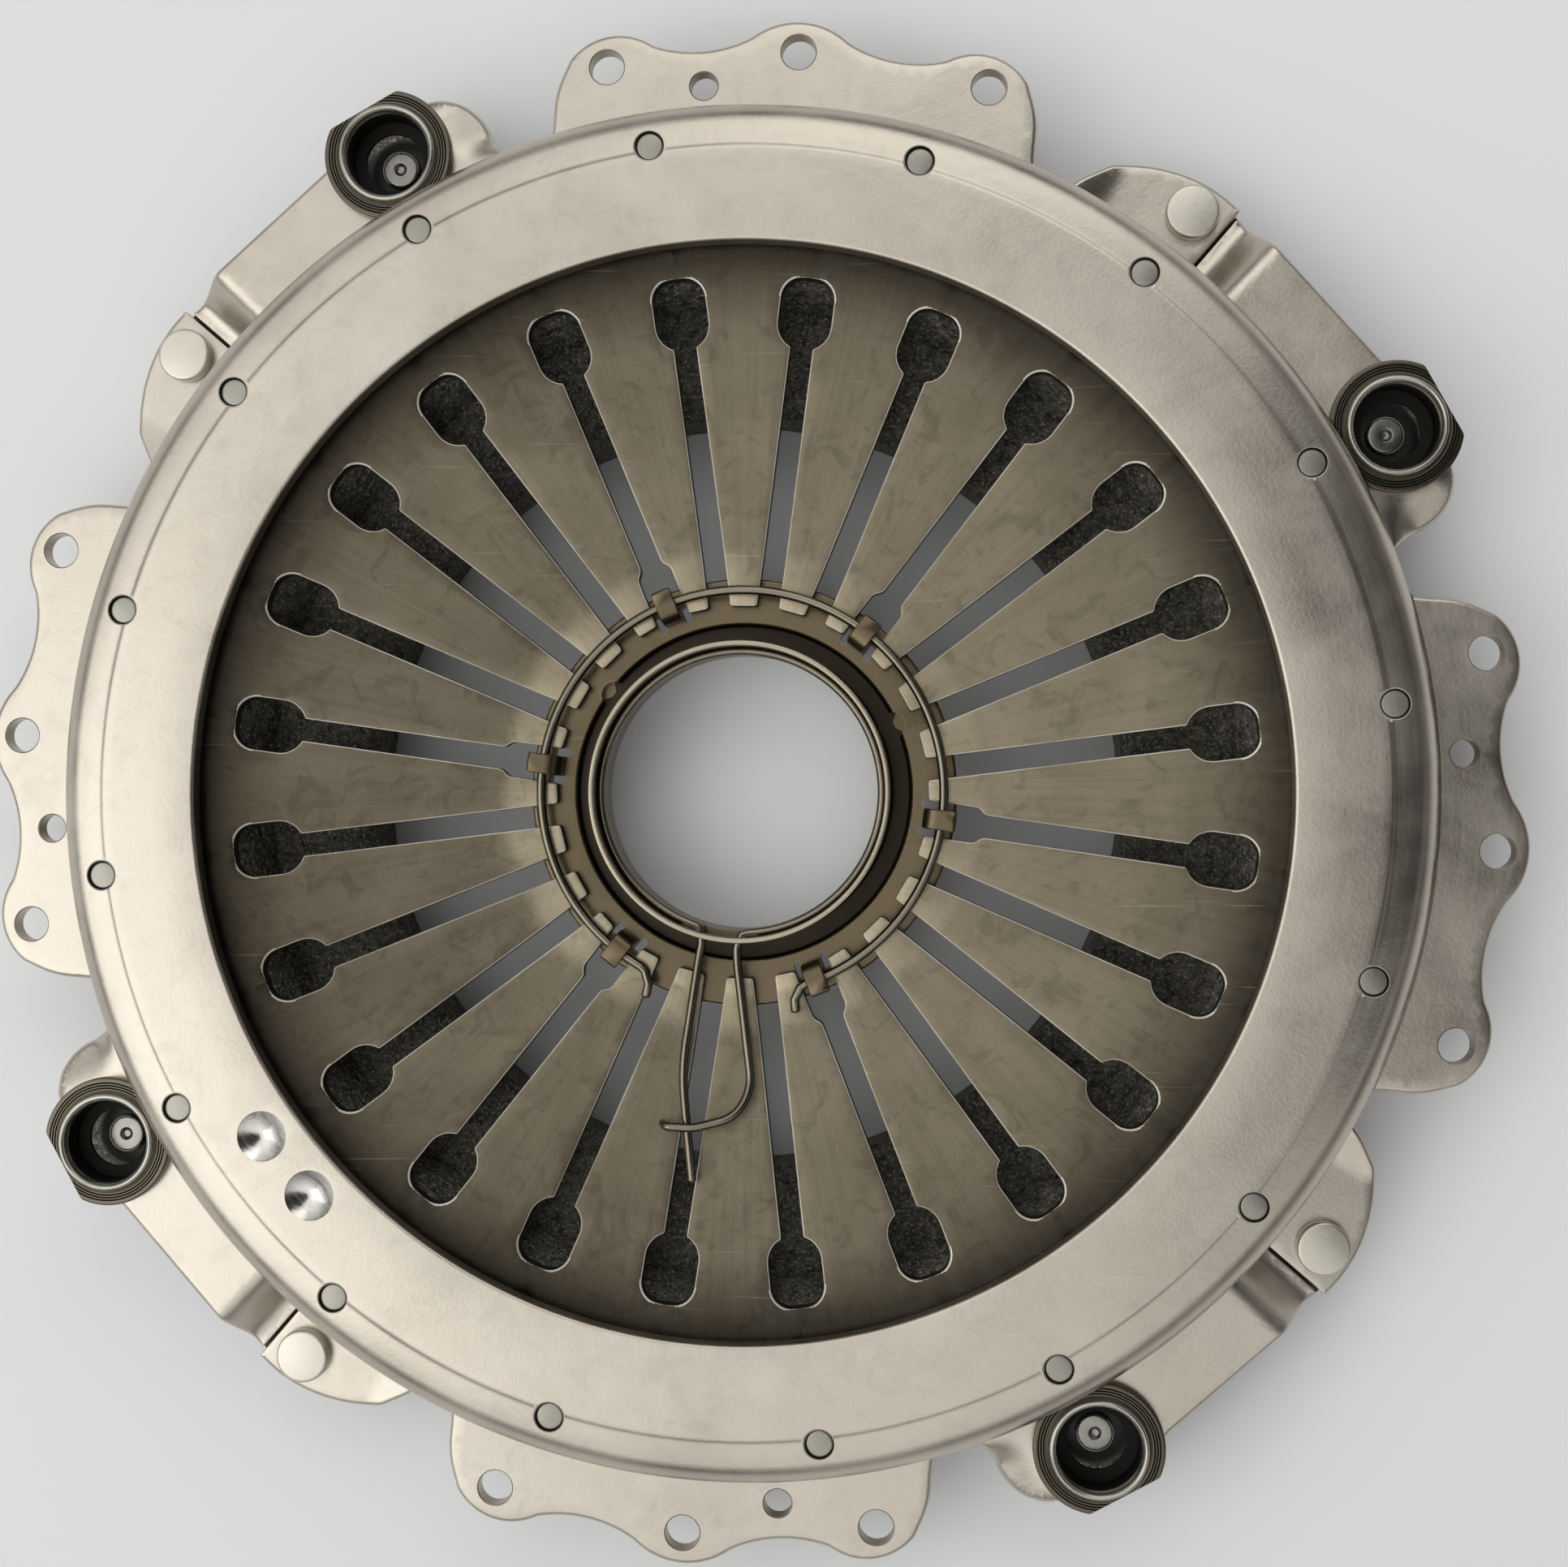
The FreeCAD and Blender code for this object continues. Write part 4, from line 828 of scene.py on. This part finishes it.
def seat_part():
    """Raised seat for a stop sleeve, whose hole runs over the seat's outer edge."""
    end = SLIT_ANGLE - SLIT_WIDTH
    path = [polar(WALL_R, SEAT_START), polar(WALL_R + 4.5, 20.5), polar(215.0, 20.9)]
    path += arc3(polar(215.0, 20.9), polar(227.0, 22.1), polar(231.0, 23.7), 12)[1:]
    path += arc3(polar(231.0, 23.7), polar(232.5, 28.9), polar(228.5, 33.9), 18)
    path += [polar(228.5, 33.9), polar(228.5, end), polar(WALL_R, end)]
    path = rounded(path, [0, 3, 4] + [1.5] * (len(path) - 6) + [6, 1.2, 0], 3)
    outline = dense(path + wall_line(end, SEAT_START)[1:-1], 1.3)
    holes = [(*polar(STRAP_R, STRAP_PLATE_ANGLE), SEAT_HOLE)]

    def rise(angle):
        return seat_height(*polar(WALL_R, angle)) - SEAT_TOP

    sheet = plate(outline, weights_for(outline, end), holes, seat_height, SHEET, EDGE_ROUND, 2.2, 0.3)
    wall = lathe([(WALL_R - SHEET, PLATFORM_TOP), (WALL_R - 0.2, PLATFORM_TOP), (WALL_R - 0.2, SKIRT_Z),
                  (WALL_R - SHEET, SKIRT_Z)], 40, 20.6, 28.4)
    return joined([sheet, foot_bend(SEAT_TOP, SEAT_BEND, 20.6, end - 0.1, rise), wall])


parts = [moved(part, angle + 90 * q) for q in range(QUARTERS)
         for part, angle in ((tab_part(), TAB_ANGLE), (platform_part(), 0), (seat_part(), 0))]
flanges = piece("cover_flanges", *joined(parts), cover_steel, "cover", "cover_steel", sharp=32)
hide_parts("cover")
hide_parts("cover")

# Pins, rivets and sleeves
pin = spindle(rounded([(0, PIN_FOOT), (PIN_D / 2, PIN_FOOT), (PIN_D / 2, PIN_TOP), (0, PIN_TOP)],
                      [0, 0.4, 0.9, 0], 4), 48)
pins = piece("pins", *joined([moved(pin, 0, (*spot, 0)) for spot in pin_spots]), pin_steel, "cover",
             "pin_steel")
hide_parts("centring_pins")


def four(profile, sides, angle):
    """Four copies of a turned body on the circle of the straps."""
    return joined([moved(spindle(profile, sides), 0, (*polar(STRAP_R, angle + 90 * q), 0))
                   for q in range(QUARTERS)])


head = rounded([(0, 14.8), (7.5, 14.8), (7.5, 18.4), (5.0, 18.4), (5.0, PLATFORM_TOP), (8.1, PLATFORM_TOP),
                (8.1, 31.9), (0, 32.0)], [0, 1.2, 0, 0, 0, 0.5, 1.1, 0], 4)
rivets = piece("cover_rivets", *four(head, 56, STRAP_COVER_ANGLE), rivet_steel, "cover", "rivet_steel")
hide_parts("cover_strap_rivets")

stud = rounded([(0, 5.0), (7.5, 5.0), (7.5, 9.0), (5.0, 9.0), (5.0, 24.0), (5.7, 24.0), (5.7, 27.4),
                (1.9, 27.4), (1.2, 26.3), (0, 26.2)], [0, 0.4, 0, 0, 0, 0, 1.0, 0.3, 0.3, 0], 4)
studs = piece("plate_rivets", *four(stud, 48, STRAP_PLATE_ANGLE), stud_steel, "pressure_plate", "rivet_steel")
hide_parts("plate_strap_rivets")
for name, look in (("strap_washers", washer_steel), ("pressure_plate", plate_iron)):
    nodes[name].data.materials.clear()
    add_slots(nodes[name], look)


def sleeve_part():
    """Sleeve with a shoulder at its foot and a rolled rim; its grooved flange is cut flat on two sides."""
    grooves = [(radius + step, FLANGE_TOP - deep) for radius in GROOVE_RADII
               for step, deep in ((0.25, 0), (0.1, GROOVE_DEPTH), (-0.1, GROOVE_DEPTH), (-0.25, 0))]
    foot = [(SLEEVE_BORE, 34.0), (8.8, 33.8), (8.8, 32.4), (14.6, 32.4), (14.6, FLANGE_FOOT),
            (19.5, FLANGE_FOOT), (19.5, FLANGE_TOP)]
    rim = [(15.7, FLANGE_TOP), (15.3, 42.2), (14.9, 42.6), (14.7, 44.0), (13.7, 44.5), (12.8, 43.6),
           (SLEEVE_BORE, 39.5)]
    shape = rounded(foot + grooves + rim, [0.3, 0.3, 0.3, 0.3, 0, 0.3, 1.1] + [0] * len(grooves)
                    + [0.2, 0.2, 0.2, 0.6, 0.7, 1.0, 2.0], 4)
    verts, faces = lathe(shape, 96)
    clamped = []
    for x, y, z in verts:
        if z > FLANGE_FOOT - 0.1 and abs(x) > SLEEVE_FLAT:
            x = math.copysign(SLEEVE_FLAT, x)
            z = FLANGE_TOP if z > 42.1 else z
        clamped.append((x, y, z))
    return clamped, faces


for number in range(QUARTERS):
    angle = STRAP_PLATE_ANGLE + 90 * number
    turned = moved(moved(sleeve_part(), 0, (STRAP_R, 0, 0)), angle)
    sleeve = piece(f"sleeve_{number + 1}", *turned, sleeve_steel, "cover", "sleeve_steel", sharp=40)
    add_slots(sleeve, sleeve_painted_shade, sleeve_rim_painted_highlight)
    for polygon in sleeve.data.polygons:
        place = polygon.center / MM
        reach = nearest(place, [polar(STRAP_R, angle)])
        # The bore and the flange's grooves get the painted shade
        grooved = 16.0 < reach < 18.2 and 42.1 < place.z < FLANGE_TOP - 0.05
        if reach < SLEEVE_BORE + 0.3 and place.z < 42.2 or grooved:
            polygon.material_index = 1
        # The rolled rim gets the painted highlight
        elif reach < 15.0 and place.z > 42.2:
            polygon.material_index = 2
    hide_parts(f"stop_sleeve_{number + 1}")


# Diaphragm: twenty-four fingers, each a cone from its seat that eases into level tips at the release ring

def spring_height(radius):
    """Upper face of the diaphragm: a cone that eases into the level tips."""
    cone = FULCRUM_Z - (FULCRUM_R - radius) * SLOPE
    ease = 5.0
    if radius >= BEND_R + ease:
        return cone
    if radius <= BEND_R - ease:
        return FINGER_TOP
    t = (radius - (BEND_R - ease)) / (2 * ease)
    return FINGER_TOP + SLOPE * ease * t * t


def finger_half(side, hook):
    """Half outline of a finger from its tip out to the rim, on one side, in plan."""
    seam = PITCH / 2 * side
    along = Vector(polar(1.0, seam))
    across = Vector((along.y, -along.x)) * side
    slot, wide, half = 3.35, 5.35, 8.0
    inner, outer, near, far = 133.8, WINDOW_END, 7.4, 6.2
    lines = [(TIP_R, wide), (72.0, wide), (74.0, slot)] if hook else [(TIP_R, slot)]
    radii = [1.0, 2.5, 3.0] if hook else [1.0]
    start = math.acos((slot - half + near) / near)
    for k in range(9):
        turn = start * (1 - k / 8)
        lines.append((inner + near - near * math.sin(turn), half - near + near * math.cos(turn)))
    for k in range(9):
        turn = math.radians(90 * k / 8)
        lines.append((outer - far + far * math.sin(turn), half - far + far * math.cos(turn)))
    lines.append((outer, 0.0))
    radii += [0.8] + [0.0] * (len(lines) - len(radii) - 1)
    points = [tuple(along * r + across * w) for r, w in lines]
    points.append(tuple(along * SPRING_RIM))
    radii.append(0.0)
    return points, radii


def finger(number):
    """Finger in its place; every fourth slot is widened for a hook."""
    low, low_radii = finger_half(-1, number % 4 == 3)
    high, high_radii = finger_half(1, number % 4 == 2)
    rim = [polar(SPRING_RIM, -PITCH / 2 + PITCH * k / 12) for k in range(1, 12)]
    points = low + rim + list(reversed(high))
    radii = low_radii + [0.0] * len(rim) + list(reversed(high_radii))
    outline = dense(rounded(points, radii, 6), 2.0)
    weights = []
    for x, y in outline:
        radius = math.hypot(x, y)
        seam = abs(abs(math.degrees(math.atan2(y, x))) - PITCH / 2) < 0.02 and radius > WINDOW_END - 0.1
        weights.append(0.0 if seam or radius > SPRING_RIM - 1.9 else 1.0)

    def top(x, y):
        return spring_height(math.hypot(x, y))

    return moved(plate(outline, weights, [], top, SPRING_T, 0.6, 4.0), finger_middle(number))


def finger_middle(number):
    return SLOT_ANGLE + PITCH * (number + 0.5)


for number in range(FINGERS):
    made = piece(f"finger_{number + 1:02d}", *finger(number), spring_steel, None, "spring_steel", sharp=40)
    middle = finger_middle(number)
    start, end = polar3(187.0, middle, 40), polar3(85.7, middle, 40)
    add_slots(made, spring_edge_painted_highlight, spring_wall_painted_shade)
    # Rounded edge faces inside the windows get the painted highlight
    for polygon in made.data.polygons:
        if polygon.center.xy.length / MM < WINDOW_END + 0.1:
            # Walls and undersides, tilted 0.25 or less, get the painted shade
            tilt = polygon.normal.z
            polygon.material_index = 1 if 0.25 < tilt < 0.965 else 2 if tilt <= 0.25 else 0
    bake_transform(made)
    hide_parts("diaphragm_spring")


# Leaf springs between the plate's lug and the cover's platform

def leaf_part(layer):
    """Leaf with round ends between the two strap rivets, and those two places."""
    start, end = Vector(polar(STRAP_R, STRAP_PLATE_ANGLE)), Vector(polar(STRAP_R, STRAP_COVER_ANGLE))
    run = end - start
    outline = [polar(LEAF_HALF, a) for a in range(90, 271, 10)]
    outline += [(run.length + x, y) for x, y in [polar(LEAF_HALF, a) for a in range(-90, 91, 10)]]
    outline = dense(outline, 3.0)
    top_z = LEAF_TOP - LEAF_T * (2 - layer)
    leaf = plate(outline, [1.0] * len(outline), [(0, 0, LEAF_HOLE), (run.length, 0, LEAF_HOLE)],
                 lambda x, y: top_z, LEAF_T, 0.2, 4.0, 0.1)
    return moved(leaf, math.degrees(math.atan2(run.y, run.x)), (start.x, start.y, 0)), start, end


for number in range(QUARTERS):
    for layer in range(3):
        part, start, end = leaf_part(layer)
        part = moved(part, 90 * number)
        turn = Matrix.Rotation(math.radians(90 * number), 2)
        near, far = turn @ (start + (end - start) * 0.12), turn @ (end - (end - start) * 0.12)
        made = piece(f"leaf_{number + 1}_{layer + 1}", *part, leaf_steel, None, "leaf_steel")
        Vector((*near, LEAF_TOP)) * MM
        Vector((*far, LEAF_TOP)) * MM
        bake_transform(made)
        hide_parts(f"leaf_spring_{number + 1}_{layer + 1}")


# Release ring with hooks, and the two wires

def hook_part():
    """Hook that rises from the ring and lies over the wire, with its two broad faces eased at the edges."""
    low, thick, bend = WIRE_Z + WIRE_ROD + 0.1, 3.0, 2.2
    root, nose = 55.6, 65.7
    side = [(root, RING_FOOT), (root + thick, RING_FOOT), (root + thick, low), (nose, low),
            (nose, low + thick), (root, low + thick)]
    shape = rounded(side, [0, 0, bend * 1.3, 0.8, 1.2, (bend + thick) * 1.1], 6)
    count = len(shape)
    centre_r, centre_z = [sum(axis) / count for axis in zip(*shape)]
    eased_by = 0.35
    verts = []
    for y, inset in ((-HOOK_HALF, eased_by), (-HOOK_HALF + eased_by, 0.0), (HOOK_HALF - eased_by, 0.0),
                     (HOOK_HALF, eased_by)):
        for r, z in shape:
            k = 1 - inset / max(math.hypot(r - centre_r, z - centre_z), 1)
            verts.append((centre_r + (r - centre_r) * k, y, centre_z + (z - centre_z) * k))
    return verts, banded(4, count)


ring_shape = rounded(
    [(42.2, 15.8), (51.4, 15.8), (51.4, 20.6), (65.5, 20.6), (65.5, RING_TOP), (51.4, RING_TOP), (51.4, 21.6),
     (45.5, 21.6), (45.5, 41.5), (43.9, 41.5), (43.9, 34.8), (44.4, 34.8), (44.4, 31.6), (42.2, 31.6)],
    [0.6, 0.5, 0.5, 0.8, 1.0, 0.9, 0.8, 1.2, 0.6, 0.45, 0.1, 0.1, 0.1, 0.4], 4)
hub = piece("release_ring_turned", *lathe(ring_shape, 256), ring_steel, "release_ring", "ring_steel",
            sharp=38)


def block(x0, x1, y0, y1, z0, z1):
    corners = [(x, y, z) for x in (x0, x1) for y in (y0, y1) for z in (z0, z1)]
    sides = [(0, 1, 3, 2), (4, 6, 7, 5), (0, 4, 5, 1), (2, 3, 7, 6), (0, 2, 6, 4), (1, 5, 7, 3)]
    return corners, sides


def slot_tool(offset, half=1.3):
    """Cutter for the round-ended slot beside a hook."""
    slot = [(59.5, offset - half), (59.5, offset + half)]
    slot += [(55.6 + x, offset + y) for x, y in [polar(half, a) for a in range(90, 271, 20)]]
    return [(x, y, z) for z in (18.0, 28.0) for x, y in slot], banded(2, len(slot))


tools = [moved(slot_tool(offset), HOOK_ANGLE + 60 * k) for k in range(HOOKS) for offset in (-4.3, 4.3)]
for angle in (24.0, 143.0):
    x, y = polar(49.8, angle)
    tools.append(moved(spindle([(0, 21.6), (4.1, 21.6), (4.1, 27.0), (0, 27.0)], 40), 0, (x, y, 0)))
tools.append(moved(block(38.0, 54.0, -12.0, 12.0, 29.7, 36.7), 261.2))
cut(hub, tools)
add_slots(hub, ring_groove_painted_shade, collar_rim_painted_highlight)
for polygon in hub.data.polygons:
    place = polygon.center / MM
    reach = place.xy.length
    # The groove and the collar's outer wall get the painted shade
    trough = 45.0 < reach < 51.5 and 21.0 < place.z < 25.0
    collar_wall = 45.2 < reach < 46.5 and 22 < place.z < 40
    if trough or collar_wall:
        polygon.material_index = 1
    # The collar's top gets the painted highlight
    elif place.z > 40.9:
        polygon.material_index = 2
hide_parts("release_ring")
hooks = piece("release_ring_hooks", *joined([moved(hook_part(), HOOK_ANGLE + 60 * k) for k in range(HOOKS)]),
              ring_steel, "release_ring", "ring_steel", sharp=40)
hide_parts("release_ring")

wire_path = [polar3(68.4, 244.8, WIRE_Z), polar3(65.0, 244.2, WIRE_Z), polar3(61.9, 241.6, WIRE_Z)]
wire_path += [polar3(WIRE_R, 240.0 - 311.5 * k / 180, WIRE_Z) for k in range(181)]
wire_path += [polar3(61.9, 286.9, WIRE_Z), polar3(65.0, 284.5, WIRE_Z), polar3(68.2, 284.0, WIRE_Z)]
retainer = piece("retaining_wire_round", *tube(wire_path, WIRE_ROD), wire_steel, "release_ring", "wire_steel")
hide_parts("retaining_wire")

# Snap ring: legs as radius, angle and height, outer end first on the right and last on the left
hoop = [polar3(SNAP_R, 273.0 + 337.8 * k / 200, SNAP_Z) for k in range(201)]
right_leg = [(102.4, 257.0, 39.2), (102.5, 257.8, 42.3), (101.5, 262.4, 42.35), (97.5, 269.5, 41.0),
             (89.0, 272.4, 37.7), (52.0, 268.8, 33.3), (46.6, 268.4, SNAP_Z), (43.1, 270.6, SNAP_Z)]
left_leg = [(43.1, 253.2, SNAP_Z), (46.6, 255.4, SNAP_Z), (52.0, 255.8, 33.3), (86.0, 258.2, 36.8),
            (117.0, 263.2, 41.9)]
path = eased([polar3(*p) for p in right_leg], [0, 1.5, 2.5, 6, 9, 8, 2.5, 0], 7)
path += hoop
path += eased([polar3(*p) for p in left_leg], [0, 2.5, 6, 9, 0], 7)
snap = piece("snap_ring_round", *tube(path, SNAP_ROD), wire_steel, "release_ring", "wire_steel")
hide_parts("snap_ring")


# Floor, light and camera
floor_mat, tree, shader = material("floor_paper")
shader.inputs["Roughness"].default_value = 0.9
rays = node(tree, "LightPath").outputs
seen = math_of(tree, "MAXIMUM", rays["Is Camera Ray"], rays["Is Glossy Ray"])
seen = math_of(tree, "MAXIMUM", seen, rays["Is Transmission Ray"])
tree.links.new(mix(tree, seen, (0.30, 0.30, 0.30), (0.90, 0.90, 0.90)), shader.inputs["Base Color"])
paper = noise_of(tree, position(tree), 300.0, 3.0)
tree.links.new(bump(tree, paper, 0.05, 0.0002), shader.inputs["Normal"])
bpy.ops.mesh.primitive_plane_add(size=8, location=(0, 0, -0.0006))
floor = bpy.context.object
floor.name = "floor"
floor.data.materials.append(floor_mat)

world = bpy.data.worlds.new("studio")
bpy.context.scene.world = world
world.use_nodes = True
tree = world.node_tree
background = tree.nodes["Background"]
direction = node(tree, "TexCoord").outputs["Generated"]


def toward(x, y, z):
    """Cosine between a world direction and the given one."""
    aim = Vector((x, y, z)).normalized()
    cosine = node(tree, "VectorMath", {0: direction, 1: tuple(aim)}, operation="DOT_PRODUCT")
    return cosine.outputs["Value"]


# Bright from the left, dark patch on the upper right, and a dark band at 14 to 33 degrees above the horizon
wide = spread(tree, toward(-0.80, -0.20, 0.56), -0.6, 0.95, 0.45, 1.12)
dim = ramp(tree, toward(0.52, 0.13, 0.84), [(0.855, (1.0,)), (0.935, (0.04,))])
up = node(tree, "SeparateXYZ", {"Vector": direction}).outputs["Z"]
low = ramp(tree, up, [(0.0, (0.78,)), (0.10, (0.72,)), (0.24, (0.28,)), (0.38, (0.13,)), (0.55, (0.55,)),
                      (0.75, (1.0,))])
glow = math_of(tree, "MULTIPLY", math_of(tree, "MULTIPLY", wide, dim), low)
grey = node(tree, "CombineColor", {0: glow, 1: glow, 2: glow}).outputs[0]
tree.links.new(grey, background.inputs["Color"])
background.inputs["Strength"].default_value = 1.12


def lamp(name, place, size, power):
    """Square lamp that faces the part."""
    data = bpy.data.lights.new(name, "AREA")
    data.shape = "RECTANGLE"
    data.size, data.size_y = size, size
    data.energy = power
    made = bpy.data.objects.new(name, data)
    bpy.context.scene.collection.objects.link(made)
    made.location = place
    made.rotation_euler = (Vector((0, 0, 0.03)) - Vector(place)).to_track_quat("-Z", "Y").to_euler()


lamp("key", (-0.95, -0.30, 1.10), 1.1, 3.6)
lamp("fill", (0.25, 0.95, 0.9), 0.9, 2.0)

camera_data = bpy.data.cameras.new("camera")
camera = bpy.data.objects.new("camera", camera_data)
bpy.context.scene.collection.objects.link(camera)
bpy.context.scene.camera = camera
camera_data.sensor_width = SENSOR
camera_data.sensor_fit = "HORIZONTAL"
camera_data.lens = SENSOR * FOCAL / PHOTO_WIDTH
camera_data.clip_start = 0.01
view = Vector(CAMERA_AIM).normalized()
right = view.cross(Vector((0, 1, 0))).normalized()
up = right.cross(view)
camera.matrix_world = Matrix((
    (right.x, up.x, -view.x, CAMERA_PLACE[0]),
    (right.y, up.y, -view.y, CAMERA_PLACE[1]),
    (right.z, up.z, -view.z, CAMERA_PLACE[2]),
    (0, 0, 0, 1)))
bpy.context.scene.view_settings.view_transform = "Standard"
